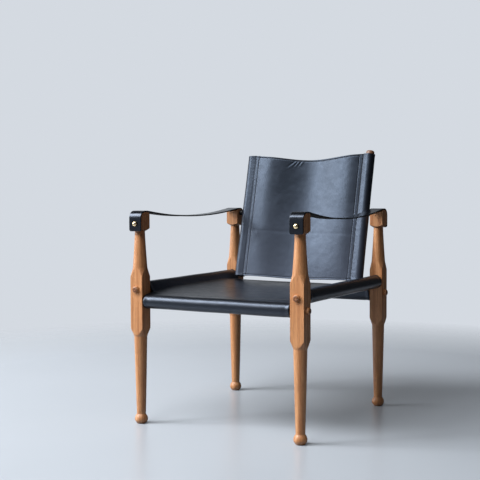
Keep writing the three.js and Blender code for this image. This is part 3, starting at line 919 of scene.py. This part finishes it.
def pucker(along, distance, depth, phase=0.0):
    """Ripples beside a seam: waves along it of two lengths, that die away from it as a bell."""
    first, second = (2 * np.pi * along / wave for wave in PUCKER_WAVES)
    waves = np.sin(first + phase) + PUCKER_SECOND * np.sin(second + 1.7 * phase + 1.0)
    return depth * waves * bell(distance, PUCKER_REACH)


def pushed_out(inwards, upwards, shift, gone, left):
    """Sections moved outwards by a shift that fades close to the seam they leave, whose distance
    is gone, and to the seam they come back to, which is left."""
    out_in, out_up = section_normals(inwards, upwards)
    shift = shift * np.clip(gone / SEAM_FADE, 0, 1) * np.clip(left / SEAM_FADE, 0, 1)
    return inwards + out_in * shift, upwards + out_up * shift


def seat_height(x, y):
    """Height of the seat's middle surface: level over the cross rails, a cubic rise to the
    side rails, and a sag that is a parabola across times a squared parabola along."""
    across = np.clip(np.abs(x) / SEAT_HALF_WIDTH, 0, 1)
    along = np.clip(np.abs(y - SEAT_MIDDLE_Y) / SEAT_HALF_SPAN, 0, 1)
    rise = SEAT_SIDE_RISE * across ** 3 * (1 - along ** 4)
    sag = SEAT_SAG * (1 - across ** 2) * (1 - along ** 2) ** 2
    return SEAT_LEVEL + rise - sag


def seat_surface(x, y, depth):
    """The seat panel with its ripples: puckers beside the four seams, and slow pulls, which are
    the product of two slanting sines that dies away at the edges."""
    beside = SEAT_HALF_WIDTH - np.abs(x)
    before = SEAT_HALF_DEPTH - np.abs(y - SEAT_MIDDLE_Y)
    ripple = pucker(y, beside, depth, 0.4) + pucker(x, before, depth, 2.1)
    pull = SEAT_PULL * np.sin(17 * x + 9 * y + 0.5) * np.sin(11 * y - 5 * x + 1.1)
    edge = np.clip(np.minimum(beside, before) / SEAT_PULL_FADE, 0, 1)
    height = seat_height(x, y) + ripple + pull * edge
    return np.stack([x, y, height], axis=-1)


def seat_flap(edge, rail, inwards_axis, slack, depth):
    """A flap that continues the panel's edge round a rail and back to a tab under the panel.

    Its sleeve flares at both mouths by a bell and is drawn in behind them by another, has faint
    waves, and widens towards the legs by a smooth step as it leaves the seam. The tab is
    mitred."""
    seam_up = edge[:, 2] - rail.z
    inwards, upwards = loop_section(SEAT_LOOP_RADIUS, SEAT_SEAM_REACH, seam_up,
                                    seam_up - SEAT_LEATHER - PLY_GAP, slack, TAB_WIDTH)
    gone = section_distances(inwards, upwards)
    left = gone.max(axis=1, keepdims=True) - gone - TAB_WIDTH
    across = np.abs(np.array(inwards_axis))
    along_axis = across[[1, 0, 2]]
    along = (edge @ along_axis)[:, None]
    to_end = np.minimum(along - along.min(), along.max() - along)
    flare = (SLEEVE_FLARE * bell(to_end, SLEEVE_FLARE_REACH)
             - SLEEVE_NECK * bell(to_end - SLEEVE_NECK_PLACE, SLEEVE_NECK_REACH))
    shift = pucker(along, gone, depth, 0.9) + pucker(along, left, depth, 0.9)
    shift = shift + flare + SLEEVE_WAVE * np.sin(31 * along + 40 * gone)
    inwards, upwards = pushed_out(inwards, upwards, shift, gone, left)
    half = (along.max() - along.min()) / 2
    full = SEAT_HALF_SPAN if along_axis[1] else SIDE_RAIL["right"].x
    opened = np.clip(gone / SLEEVE_WIDENS_OVER, 0, 1)
    opened = opened ** 2 * (3 - 2 * opened)
    widen = 1 + ((full - LEG_HALF - SLEEVE_END_GAP) / half - 1) * opened
    mitre = widen - np.clip(-left, 0, TAB_WIDTH) / half
    centre = (along.max() + along.min()) / 2
    place = centre + (along - centre) * mitre
    flap = (
        place[..., None] * along_axis
        + inwards[..., None] * np.array(inwards_axis)
        + upwards[..., None] * np.array([0, 0, 1.0])
        + np.array(rail) * across
        + np.array([0, 0, rail.z])
    )
    flap[:, 0] = edge
    return flap


def seat_grids(depth):
    """The seat as five grids that share edges: the panel and a flap round each rail."""
    x = np.linspace(-SEAT_HALF_WIDTH, SEAT_HALF_WIDTH, SEAT_COLUMNS)
    y = SEAT_MIDDLE_Y + np.linspace(-SEAT_HALF_DEPTH, SEAT_HALF_DEPTH, SEAT_ROWS)
    panel = seat_surface(x[None, :] + 0 * y[:, None], y[:, None] + 0 * x[None, :], depth)
    flaps = (
        (panel[0], CROSS_RAIL["front"], (0, 1, 0), 0.0),
        (panel[-1], CROSS_RAIL["back"], (0, -1, 0), BACK_SLEEVE_SLACK),
        (panel[:, 0], SIDE_RAIL["left"], (1, 0, 0), 0.0),
        (panel[:, -1], SIDE_RAIL["right"], (-1, 0, 0), 0.0),
    )
    return [panel] + [seat_flap(*flap, depth) for flap in flaps]


def back_to_chair(points):
    """Points of the back's own frame, tilted and set on the pivots."""
    x, y, z = np.moveaxis(points, -1, 0)
    sine, cosine = math.sin(BACK_TILT), math.cos(BACK_TILT)
    return np.stack([x, y * cosine + z * sine + PIVOT.y, z * cosine - y * sine + PIVOT.z], axis=-1)


def back_give(x):
    """How far the back panel has given way: a cosine bell from the seams to the middle."""
    share = np.clip(np.abs(x) / BACK_HALF_WIDTH, 0, 1)
    return (1 + np.cos(np.pi * share)) / 2


def back_level(up):
    """Height on the back as a share from its hem to its top."""
    return (up - BACK_BOTTOM) / (BACK_TOP - BACK_BOTTOM)


def seam_sink(side, up):
    """How far a seam of the back lies behind the front of its sleeve, from the hem to the top."""
    return between(*BACK_SEAM_SINK[side], back_level(up))


def panel_depth(x, up):
    """How far the back panel lies behind the fronts of the sleeves: its bow, and beside each seam
    a valley, a Gaussian, both deeper towards the top. The panel's edge comes forward to the seam
    where the seam is less sunk than the valley."""
    give = back_give(x) ** BACK_GIVE_POWER
    width, deep = (np.where(x < 0, table["left"], table["right"])
                   for table in (BACK_VALLEY_WIDTH, BACK_VALLEY_DEPTH))
    sink = np.where(x < 0, seam_sink("left", up), seam_sink("right", up))
    level = back_level(up)
    deep = deep * (BACK_VALLEY_AT_HEM + BACK_VALLEY_GAIN * level)
    bow = between(BACK_BOW, BACK_BOW_TOP, level * (1 + BACK_BOW_EARLY * (1 - level)))
    valley = deep * bell(BACK_HALF_WIDTH - np.abs(x), width)
    return bow * give + valley - (deep - sink) * (1 - give)


def crease(across, up, depth, spots):
    """Short creases: for each spot a narrow ridge beside a groove, faded at both ends. A spot is
    its place across, its place up, its lean, its half length and its width."""
    height = np.zeros(np.broadcast(across, up).shape)
    for place, level, lean, half, width in spots:
        run = (up - level) / half
        off = (across - place - lean * (up - level)) / width
        groove = CREASE_GROOVE * bell(off - CREASE_GROOVE_PLACE, 1)
        height += depth * bell(run, 1) * (bell(off, 1) - groove)
    return height


def back_surface(x, share, sizes):
    """The back panel from its bottom edge (share 0) to its top edge (share 1).

    Its top edge dips by a parabola, and its hem hangs lower in the middle and to the right. A
    groove, a bell across, follows each row of stitches. Puckers, creases, slow waves (a product
    of two sines) and a faint fold (a bell) are added to the depth of the panel."""
    give = back_give(x)
    top = BACK_TOP - BACK_TOP_DIP * (1 - (x / BACK_HALF_WIDTH) ** 2)
    bottom = BACK_BOTTOM - BACK_HEM_DROP * give - BACK_HEM_SLANT * x / UPRIGHT_X
    up = bottom + (top - bottom) * share
    beside = BACK_HALF_WIDTH - np.abs(x)
    hem = np.minimum(up - bottom, top - up)
    depth = pucker(up, beside, 0.5 * sizes.pucker_depth, 0.7)
    for place in (beside, beside - SECOND_ROW, hem - HEM_ROW):
        depth = depth + GROOVE_DEPTH * bell(place, GROOVE_WIDTH)
    depth = depth + crease(x, up, sizes.crease_depth, TOP_CREASES)
    depth = depth + BACK_WAVE * np.sin(13 * x + 1.0) * np.sin(15 * up + 9 * x + 0.6) * give
    depth = depth + FOLD_DEPTH * bell(up - FOLD_UP - FOLD_LEAN * x, FOLD_WIDTH)
    return np.stack([x, panel_depth(x, up) + depth - BACK_LOOP_RADIUS, up], axis=-1)


def back_flap(edge, side, sizes):
    """The back's sleeve: from the seam over the front of an upright, round its outer side and
    back to a tab behind the panel, which the tab follows. It flares at both mouths by a bell and
    has faint waves."""
    along = edge[:, 2:3]
    sink = seam_sink(side, along)
    front = BACK_LOOP_RADIUS - sink[:, 0]
    inwards, upwards = loop_section(BACK_LOOP_RADIUS, BACK_SEAM_REACH, front,
                                    front - BACK_LEATHER - PLY_GAP, 0.0, TAB_WIDTH)
    gone = section_distances(inwards, upwards)
    left = gone.max(axis=1, keepdims=True) - gone - TAB_WIDTH
    to_end = np.minimum(along - along.min(), along.max() - along)
    shift = pucker(along, gone, sizes.pucker_depth, 0.7) + pucker(along, left, sizes.pucker_depth)
    shift = shift + BACK_SLEEVE_FLARE * bell(to_end, BACK_SLEEVE_FLARE_REACH)
    shift = shift + BACK_SLEEVE_WAVE * np.sin(37 * along + 50 * gone)
    inwards, upwards = pushed_out(inwards, upwards, shift, gone, left)
    x = SIDES[side] * (UPRIGHT_X - inwards)
    on_tab = gone > gone.max() - TAB_WIDTH
    bowed = (panel_depth(x, along) - sink) * on_tab
    flap = np.stack([x, bowed - upwards, along + 0 * x], axis=-1)
    flap[:, 0] = edge
    return flap


def packed_ends(middle, end, reach):
    """Places from -1 to 1 that stand closer together within a reach of both ends."""
    close = np.linspace(0, reach, end, endpoint=False)
    return np.concatenate([close - 1, np.linspace(reach - 1, 1 - reach, middle), 1 - close[::-1]])


def back_grids(sizes):
    """The back as three grids that share edges, in the back's own frame."""
    x = BACK_HALF_WIDTH * packed_ends(*BACK_COLUMNS)[None, :]
    share = (1 + packed_ends(*BACK_ROWS)[:, None]) / 2
    panel = back_surface(x + 0 * share, share + 0 * x, sizes)
    return [
        panel,
        back_flap(panel[:, 0], "left", sizes),
        back_flap(panel[:, -1], "right", sizes),
    ]


def strap_path(sag):
    """The strap's middle line from the front drop to the back drop, as places along and up: a
    straight drop, a quarter circle over the head's rounded edge, the flat of the head, and a
    parabola between the heads."""
    outer = HEAD_OUTER_ROUND + SNUG_GAP + STRAP_LEATHER / 2
    inner = HEAD_INNER_ROUND + SNUG_GAP + STRAP_LEATHER / 2
    near = SEAT_HALF_SPAN - LEG_HALF + HEAD_INNER_ROUND
    far = SEAT_HALF_SPAN + LEG_HALF - HEAD_OUTER_ROUND
    far_height = LEG_LENGTH - HEAD_OUTER_ROUND
    near_height = LEG_LENGTH - HEAD_INNER_ROUND
    leave = math.atan(2 * sag / near)
    turn = np.linspace(0, np.pi / 2, 16)
    bend = np.linspace(np.pi / 2, np.pi / 2 + leave, 4)
    leave_y = near - inner * math.sin(leave)
    hang = math.tan(leave) * leave_y / 2
    share = np.linspace(1, 0, 46)[1:]
    drop = np.linspace(STRAP_BOTTOM, far_height, 22)[:-1]
    y = np.concatenate([np.full(drop.size, far + outer), far + outer * np.cos(turn),
                        near + inner * np.cos(bend), leave_y * share])
    z = np.concatenate([drop, far_height + outer * np.sin(turn),
                        near_height + inner * np.sin(bend),
                        near_height + inner * math.cos(leave) - hang * (1 - share ** 2)])
    y = np.concatenate([-y, y[-2::-1]])
    z = np.concatenate([z, z[-2::-1]])
    return y, z


def make_strap(name, centre, sag):
    """A strap: a rectangle with rounded edges carried along the path. Its half width follows a
    quarter circle at each end. It dips round the studs by a flat-topped bell, and in mid span its
    edges curl down as a square. The faces are numbered for the grain side above, the flesh side
    below and the cut edges."""
    y, z = strap_path(sag)
    gone = line_distances(np.stack([y, z], axis=-1))
    near_end = np.concatenate([np.linspace(0, reach, count)
                               for reach, count in ((STRAP_END_STEPS, 6), (STRAP_CORNER, 12))])
    fine = np.unique(np.concatenate([near_end, gone, gone[-1] - near_end]))
    fine = fine[np.concatenate([[True], np.diff(fine) > ONE_POINT])]
    y, z = np.interp(fine, gone, y), np.interp(fine, gone, z)
    tangent = np.stack([np.gradient(y, fine), np.gradient(z, fine)], axis=-1)
    tangent /= np.linalg.norm(tangent, axis=1, keepdims=True)
    out = np.stack([-tangent[:, 1], tangent[:, 0]], axis=-1)
    to_end = np.minimum(fine, fine[-1] - fine)
    corner = np.clip(STRAP_CORNER - to_end, 0, STRAP_CORNER)
    half = STRAP_HALF_WIDTH - STRAP_CORNER + np.sqrt(STRAP_CORNER ** 2 - corner ** 2)
    edge = np.clip(STRAP_EDGE - to_end, 0, STRAP_EDGE)
    thick = STRAP_LEATHER / 2 - STRAP_EDGE + np.sqrt(STRAP_EDGE ** 2 - edge ** 2)
    turn = np.linspace(0, np.pi / 2, 6)
    side = 1 - (STRAP_EDGE / STRAP_HALF_WIDTH) * (1 - np.cos(turn))
    lift = 1 - (1 - np.sin(turn)) * STRAP_EDGE / (STRAP_LEATHER / 2)
    inner = np.linspace(side[-1], -side[-1], 20)[1:-1]
    upper = np.concatenate([side, inner, -side[::-1]])
    upper_lift = np.concatenate([lift, np.ones(inner.size), lift[::-1]])
    across = np.concatenate([upper, -upper])
    height = np.concatenate([upper_lift, -upper_lift])
    x = half[:, None] * across[None]
    off = thick[:, None] * height[None]
    from_stud = np.hypot(x, to_end[:, None] - (STUD_HEIGHT - STRAP_BOTTOM))
    off = off - STRAP_DIP * np.exp(-(from_stud / STRAP_DIP_REACH) ** 4) * (height[None] > 0)
    span = np.clip((to_end - STRAP_CURL_FROM) / STRAP_CURL_OVER, 0, 1)[:, None]
    off = off - STRAP_CURL * span * (across[None] ** 2)
    points = np.stack([
        centre.x + x,
        centre.y + y[:, None] + out[:, None, 0] * off,
        z[:, None] + out[:, None, 1] * off,
    ], axis=-1)
    strap = closed_tube(name, points)
    faces = np.zeros(across.size, dtype=np.int32)
    faces[upper.size:-1] = 1
    faces[[0, upper.size - 2, upper.size - 1, upper.size, -2, -1]] = 2
    ends = np.full(len(strap.data.polygons) - faces.size * (fine.size - 1), 2)
    strap.data.polygons.foreach_set(
        "material_index", np.concatenate([np.tile(faces, fine.size - 1), ends]).astype(np.int32))
    return strap, float(fine[-1])


def stud_outline():
    """Places along a stud and its radius: a pointed shank, a flat seat, and a head domed by a
    quarter ellipse."""
    turn = np.linspace(0, np.pi / 2, 12)[:-1]
    dome = STUD_HEAD_RADIUS * np.cos(turn)
    dome_along = STUD_RIM + (STUD_HEAD_HEIGHT - STUD_RIM) * np.sin(turn)
    along = [-STUD_SHANK, STUD_POINT - STUD_SHANK, 0, 0, STUD_EDGE_HEIGHT]
    radius = [STUD_POINT_RADIUS, STUD_SHANK_RADIUS, STUD_SHANK_RADIUS,
              STUD_HEAD_RADIUS - STUD_EDGE, STUD_HEAD_RADIUS]
    return np.concatenate([along, dome_along]), np.concatenate([radius, dome])


# Thread


def stitches(line, normals, pitch, share, radius):
    """Stitches along a line on a surface, as rings of points (stitches, rings, round, xyz).

    The line is walked at the pitch. Each stitch is a short thread that rises as a half sine from
    its holes, and its radius narrows to both ends as the root of one less a fourth power."""
    gone = line_distances(line)
    count = int(gone[-1] / pitch)
    starts = (gone[-1] - count * pitch) / 2 + pitch * np.arange(count)
    run = np.array([0.0, 0.12, 0.35, 0.65, 0.88, 1.0])
    place = starts[:, None] + pitch * (0.5 + share * (run - 0.5))[None]

    def walk(values):
        """The line's values at the rings' places, taken straight between its points."""
        return np.stack([np.interp(place, gone, values[:, i]) for i in range(3)], axis=-1)

    centre, up = walk(line), walk(normals)
    forward = walk(np.gradient(line, gone, axis=0))
    forward /= np.linalg.norm(forward, axis=-1, keepdims=True)
    up -= forward * (up * forward).sum(-1, keepdims=True)
    up /= np.linalg.norm(up, axis=-1, keepdims=True)
    across = np.cross(forward, up)
    rise = radius * (STITCH_RISE * np.sin(np.pi * run) - STITCH_SINK)
    thin = radius * np.sqrt(np.clip(1 - (2 * run - 1) ** 4, STITCH_THINNEST, None))
    turn = np.linspace(0, 2 * np.pi, THREAD_SIDES, endpoint=False)
    ring = (
        np.cos(turn)[:, None] * across[:, :, None]
        + np.sin(turn)[:, None] * up[:, :, None]
    )
    return centre[:, :, None] + (rise[:, None] * up)[:, :, None] + thin[:, None, None] * ring


def thread_piece(name, rows):
    """One mesh of all the stitches of some rows."""
    rings = np.concatenate(rows)
    count, long, around = rings.shape[:3]
    quads = grid_quads(long, around, True)
    each = long * around
    ends = np.array([list(range(around))[::-1], list(range(each - around, each))])
    offsets = each * np.arange(count)[:, None, None]
    faces = (quads[None] + offsets).reshape(-1, 4).tolist()
    faces += (ends[None] + offsets).reshape(-1, around).tolist()
    mesh = new_mesh(name, rings, faces)
    face_outwards(mesh)
    return new_object(name, mesh)


def surface_line(surface, first, second, nudge=1e-4):
    """Points of a surface along a line of its two parameters, with the surface's normals."""
    here = surface(first, second)
    one = surface(first + nudge, second) - here
    two = surface(first, second + nudge) - here
    normals = np.cross(one, two)
    return here, normals / np.linalg.norm(normals, axis=-1, keepdims=True)


def row_places(half, middle=0.0):
    """Places along a row of stitches that stops a little short of both ends of an edge."""
    return middle + np.linspace(-half, half, ROW_POINTS)[ROW_END:-ROW_END]


def sewn_rows(surface, lines, thickness, sizes, move=None):
    """Rows of stitches on both faces of a sheet, along lines of its two parameters."""
    rows = []
    for first, second, under in lines:
        points, normals = surface_line(surface, first, second)
        for face, gap in ((1.0, thickness / 2), (-1.0, thickness / 2 + under)):
            line, up = points + face * gap * normals, face * normals
            if move is not None:
                origin = move(np.zeros(3))
                line, up = move(line), move(up) - origin
            rows.append(stitches(line, up, sizes.stitch_pitch, sizes.stitch_share,
                                 sizes.thread_radius))
    return rows


# Steps


class CHAIR_OT_legs(bpy.types.Operator):
    """Turn the four legs"""

    bl_idname = "chair.legs"
    bl_label = "Legs"
    bl_options = {"REGISTER", "UNDO"}

    def execute(self, context):
        for corner, outwards in CORNERS.items():
            leg = make_leg(f"turned_leg_{corner}", box_middle(f"leg_{corner}"), outwards)
            dress(leg, ("leg_wood",), "wood", "root", f"leg_{corner}")
        return {"FINISHED"}


class CHAIR_OT_rails(bpy.types.Operator):
    """Turn the four rails with their tenons"""

    bl_idname = "chair.rails"
    bl_label = "Rails"
    bl_options = {"REGISTER", "UNDO"}

    def execute(self, context):
        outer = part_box("leg_front_right")[1].x
        for end, centre in CROSS_RAIL.items():
            rail = turned_piece(f"turned_{end}_rail", *rail_outline(outer), RAIL_SIDES,
                                (1, 0, 0), centre)
            dress(rail, ("cross_rail_wood",), "wood", "root", f"{end}_rail")
        for side, centre in SIDE_RAIL.items():
            rail = turned_piece(f"turned_side_rail_{side}",
                                *rail_outline(SEAT_HALF_SPAN + LEG_HALF), RAIL_SIDES,
                                (0, 1, 0), centre)
            dress(rail, ("side_rail_wood",), "wood", "root", f"side_rail_{side}")
        return {"FINISHED"}


class CHAIR_OT_seat(bpy.types.Operator):
    """Stretch the seat leather round the rails and sew its sleeves"""

    bl_idname = "chair.seat"
    bl_label = "Seat"
    bl_options = {"REGISTER", "UNDO"}

    def execute(self, context):
        sizes = context.scene.chair_sizes
        grids = seat_grids(sizes.pucker_depth)
        seat = leather_sheet("stretched_seat", grids, SEAT_LEATHER, (0, 0, 1))
        dress(seat, ("seat_grain_side", "flesh_side", "cut_edge"),
              "seat_leather", "root", "seat_leather")
        x, y = row_places(SEAT_HALF_WIDTH), row_places(SEAT_HALF_DEPTH, SEAT_MIDDLE_Y)
        under = SEAT_LEATHER + PLY_GAP
        lines = []
        for inset in (SEAT_SEAM_ROW, SECOND_ROW):
            for sign in (-1, 1):
                edge = sign * (SEAT_HALF_DEPTH - inset)
                lines.append((x, np.full(x.size, SEAT_MIDDLE_Y + edge), under))
                lines.append((np.full(y.size, sign * (SEAT_HALF_WIDTH - inset)), y, under))
        rows = sewn_rows(lambda a, b: seat_surface(a, b, sizes.pucker_depth), lines,
                         SEAT_LEATHER, sizes)
        thread = dress(thread_piece("seat_thread", rows), ("thread",), "seat_leather", "root")
        return {"FINISHED"}


class CHAIR_OT_back(bpy.types.Operator):
    """Hang the back leather on its two uprights and sew its sleeves and hems"""

    bl_idname = "chair.back"
    bl_label = "Back"
    bl_options = {"REGISTER", "UNDO"}

    def execute(self, context):
        sizes = context.scene.chair_sizes
        local = back_grids(sizes)
        grids = [back_to_chair(grid) for grid in local]
        facing = back_to_chair(np.array([0, -1.0, 0])) - back_to_chair(np.zeros(3))
        back = leather_sheet("slung_back", grids, BACK_LEATHER, facing)
        dress(back, ("back_grain_side", "flesh_side", "cut_edge"),
              "back_leather", "backrest", "back_leather")
        share = np.linspace(BACK_ROW_INSET, 1 - BACK_ROW_INSET, ROW_POINTS)
        x = row_places(BACK_HALF_WIDTH)
        tall = BACK_TOP - BACK_BOTTOM
        under = BACK_LEATHER + PLY_GAP
        lines = []
        for inset in (BACK_SEAM_ROW, SECOND_ROW):
            for sign in (-1, 1):
                place = sign * (BACK_HALF_WIDTH - inset)
                lines.append((np.full(share.size, place), share, under))
        for level in (HEM_ROW / tall, 1 - HEM_ROW / tall):
            lines.append((x, np.full(x.size, level), 0.0))
        rows = sewn_rows(lambda a, b: back_surface(a, b, sizes), lines, BACK_LEATHER, sizes,
                         move=back_to_chair)
        thread = dress(thread_piece("back_thread", rows), ("thread",), "back_leather", "backrest")
        return {"FINISHED"}


class CHAIR_OT_uprights(bpy.types.Operator):
    """Turn the two uprights of the back"""

    bl_idname = "chair.uprights"
    bl_label = "Uprights"
    bl_options = {"REGISTER", "UNDO"}

    def execute(self, context):
        for side, sign in SIDES.items():
            centre = (sign * UPRIGHT_X, PIVOT.y, PIVOT.z)
            outline = upright_outline(UPRIGHT_TOP[side])
            upright = turned_piece(f"turned_upright_{side}", *outline, UPRIGHT_SIDES,
                                   BACK_AXIS, centre)
            dress(upright, ("upright_wood_painted_shade",), "wood", "backrest", f"back_upright_{side}")
        return {"FINISHED"}


class CHAIR_OT_pivots(bpy.types.Operator):
    """Turn the pivot pins and the spacers on them"""

    bl_idname = "chair.pivots"
    bl_label = "Pivots"
    bl_options = {"REGISTER", "UNDO"}

    def execute(self, context):
        for side in SIDES:
            low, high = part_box(f"pivot_pin_{side}")
            half = (high.x - low.x) / 2
            along = np.array([-half, -half, PIN_CHAMFER - half, half - PIN_CHAMFER, half, half])
            radius = np.array([0.4, 0.8, 1, 1, 0.8, 0.4]) * PIN_RADIUS
            centre = (low + high) / 2
            pin = turned_piece(f"turned_pin_{side}", along, radius, PIN_SIDES, (1, 0, 0), centre)
            dress(pin, ("brass",), "brass", "root", f"pivot_pin_{side}")
            low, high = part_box(f"pivot_spacer_{side}")
            spacer = make_spacer(f"turned_spacer_{side}", (low + high) / 2, (high.x - low.x) / 2)
            dress(spacer, ("cut_edge",), "strap_leather", "root", f"pivot_spacer_{side}")
        return {"FINISHED"}


class CHAIR_OT_straps(bpy.types.Operator):
    """Bend the two arm straps over the heads of the legs"""

    bl_idname = "chair.straps"
    bl_label = "Arm straps"
    bl_options = {"REGISTER", "UNDO"}

    def execute(self, context):
        for side in SIDES:
            strap, length = make_strap(f"bent_strap_{side}", SIDE_RAIL[side], STRAP_SAG[side])
            dress(strap, ("strap_grain_side", "strap_flesh_side", "cut_edge"),
                  "strap_leather", "root", f"arm_strap_{side}")
        return {"FINISHED"}


class CHAIR_OT_studs(bpy.types.Operator):
    """Set the four round-headed studs"""

    bl_idname = "chair.studs"
    bl_label = "Studs"
    bl_options = {"REGISTER", "UNDO"}

    def execute(self, context):
        for corner, outwards in CORNERS.items():
            low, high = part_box(f"strap_stud_{corner}")
            face = (low.y + STUD_HEAD_HEIGHT) if outwards < 0 else (high.y - STUD_HEAD_HEIGHT)
            centre = ((low.x + high.x) / 2, face, STUD_HEIGHT)
            stud = turned_piece(f"domed_stud_{corner}", *stud_outline(), STUD_SIDES,
                                (0, outwards, 0), centre)
            dress(stud, ("brass",), "brass", "root", f"strap_stud_{corner}")
        return {"FINISHED"}


class CHAIR_OT_stage(bpy.types.Operator):
    """Set the camera, the lamps and the floor"""

    bl_idname = "chair.stage"
    bl_label = "Stage"
    bl_options = {"REGISTER", "UNDO"}

    def execute(self, context):
        scene, stage = context.scene, context.scene.chair_stage
        scene.view_settings.view_transform = "Standard"
        place_camera(scene)
        place_lamps(scene, stage)
        make_world(scene, stage)
        lay_floor(stage)
        return {"FINISHED"}


def place_camera(scene):
    """The camera at the photograph's viewing angle: turned about Z, tipped, and rolled."""
    camera = bpy.data.objects.new("camera", bpy.data.cameras.new("camera"))
    camera.data.lens = CAMERA_LENS
    camera.data.sensor_width = CAMERA_SENSOR
    turn, tip, roll = (math.radians(angle) for angle in CAMERA_TURN)
    camera.matrix_world = (
        Matrix.Translation(CAMERA_PLACE) @ Matrix.Rotation(turn, 4, "Z")
        @ Matrix.Rotation(tip, 4, "X") @ Matrix.Rotation(roll, 4, "Z")
    )
    scene.collection.objects.link(camera)
    scene.camera = camera


def place_lamps(scene, stage):
    """A tall soft lamp on the left, a weaker one beside it, and a large one above the front. The
    camera doesn't see them."""
    lamps = (
        ("key", (-4.27, -3.22, 4.30), (2.5, 3.9), stage.key_power),
        ("side", (-5.20, -1.90, 1.90), (2.0, 3.2), stage.key_power * SIDE_LAMP_SHARE),
        ("front", (-0.90, -3.30, 5.20), (3.4, 2.4), stage.front_power),
    )
    for name, place, size, power in lamps:
        data = bpy.data.lights.new(name, "AREA")
        data.shape = "RECTANGLE"
        data.size, data.size_y = size
        data.energy = power
        data.color = LAMP_COLOUR
        lamp = bpy.data.objects.new(name, data)
        lamp.location = place
        lamp.visible_camera = False
        away = Vector(LAMP_TARGET) - Vector(place)
        lamp.rotation_euler = away.to_track_quat("-Z", "Y").to_euler()
        scene.collection.objects.link(lamp)


def shown_rays(tree):
    """1 for the rays that show what is behind: those of the camera, of metal and of glass."""
    rays = tree.nodes.new("ShaderNodeLightPath").outputs
    bent = calculate(tree, "MAXIMUM", rays["Is Glossy Ray"], rays["Is Transmission Ray"])
    return calculate(tree, "MAXIMUM", rays["Is Camera Ray"], bent)


def backdrop_share(tree):
    """How much of the backdrop each direction shows: all of it to the camera, and in reflections
    the cones, one behind the chair and one before it, both on the left."""
    shares = []
    for towards, *cone in BACKDROP_CONES:
        look = tree.nodes.new("ShaderNodeTexCoord").outputs["Generated"]
        shares.append(rescale(tree, measure(tree, "DOT_PRODUCT", look, towards), *cone))
    camera = tree.nodes.new("ShaderNodeLightPath").outputs["Is Camera Ray"]
    return calculate(tree, "MAXIMUM", camera, calculate(tree, "MAXIMUM", *shares))


def make_world(scene, stage):
    """A world that lights evenly and weakly, and shows its backdrop to the camera and in metal
    and glass."""
    world = bpy.data.worlds.new("studio")
    world.use_nodes = True
    tree = world.node_tree
    tree.nodes.clear()
    light = add_node(tree, "Background", {"Color": opaque(EVEN_LIGHT),
                                          "Strength": stage.even_strength})
    seen = add_node(tree, "Background", {"Color": opaque(stage.backdrop_colour),
                                         "Strength": backdrop_share(tree)})
    mix = add_node(tree, "MixShader", {0: shown_rays(tree), 1: light.outputs[0],
                                       2: seen.outputs[0]})
    add_node(tree, "OutputWorld", {"Surface": mix.outputs[0]})
    scene.world = world


def lay_floor(stage):
    """A round floor with a faint gloss. It turns transparent towards its rim, so that it runs into
    the backdrop."""
    turn = np.linspace(0, 2 * np.pi, FLOOR_SIDES, endpoint=False)
    ring = np.stack([np.cos(turn), np.sin(turn), 0 * turn], axis=-1)
    points = np.array(FLOOR_RINGS)[:, None, None] * ring
    vertices = np.vstack([points.reshape(-1, 3), np.zeros((1, 3))])
    around = np.arange(FLOOR_SIDES)
    hub = np.column_stack([np.full(FLOOR_SIDES, len(vertices) - 1), around, np.roll(around, -1)])
    quads = grid_quads(len(FLOOR_RINGS), FLOOR_SIDES, True)[:, ::-1]
    mesh = new_mesh("floor", vertices, quads.tolist() + hub.tolist())
    floor = bpy.data.objects.new("floor", mesh)
    bpy.context.scene.collection.objects.link(floor)
    material, tree, shader = new_material("plain_floor")
    cloud = noise(tree, piece_coordinates(tree), 1.3, 4, 0.55)
    colour = stage.floor_colour
    pale = blend_colour(tree, cloud, opaque(colour, 0.94), opaque(colour, 1.05))
    reach = measure(tree, "LENGTH", piece_coordinates(tree))
    finish_with(tree, shader, Roughness=0.3, Alpha=rescale(tree, reach, *FLOOR_FADE, 1, 0),
                Base_Color=blend_colour(tree, shown_rays(tree), opaque(colour, 0.35), pale))
    mesh.materials.append(material)


class CHAIR_PT_panel(bpy.types.Panel):
    """The chair's settings and the steps that build it"""

    bl_label = "Campaign chair"
    bl_idname = "CHAIR_PT_panel"
    bl_space_type = "VIEW_3D"
    bl_region_type = "UI"
    bl_category = "Chair"

    def draw(self, context):
        layout = self.layout
        for name in ("chair_sizes", "chair_colours", "chair_stage"):
            group = getattr(context.scene, name)
            box = layout.box()
            for setting in group.__annotations__:
                box.prop(group, setting)
        for step in STEPS:
            layout.operator(step.bl_idname)


STEPS = (
    CHAIR_OT_stage, CHAIR_OT_legs, CHAIR_OT_rails, CHAIR_OT_uprights, CHAIR_OT_pivots,
    CHAIR_OT_seat, CHAIR_OT_back, CHAIR_OT_straps, CHAIR_OT_studs,
)
GROUPS = {
    "chair_sizes": ChairSizes,
    "chair_colours": ChairColours,
    "chair_stage": StageSettings,
}


def register():
    """Registers the classes and gives the scene its settings."""
    for cls in (*GROUPS.values(), *STEPS, CHAIR_PT_panel):
        bpy.utils.register_class(cls)
    for name, group in GROUPS.items():
        setattr(bpy.types.Scene, name, PointerProperty(type=group))


def unregister():
    """Takes the settings and the classes away again."""
    for name in GROUPS:
        delattr(bpy.types.Scene, name)
    for cls in (CHAIR_PT_panel, *reversed(STEPS), *GROUPS.values()):
        bpy.utils.unregister_class(cls)


def main():
    """Registers the add-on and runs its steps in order."""
    register()
    for step in STEPS:
        family, call = step.bl_idname.split(".")
        getattr(getattr(bpy.ops, family), call)()


if __name__ == "__main__":
    main()
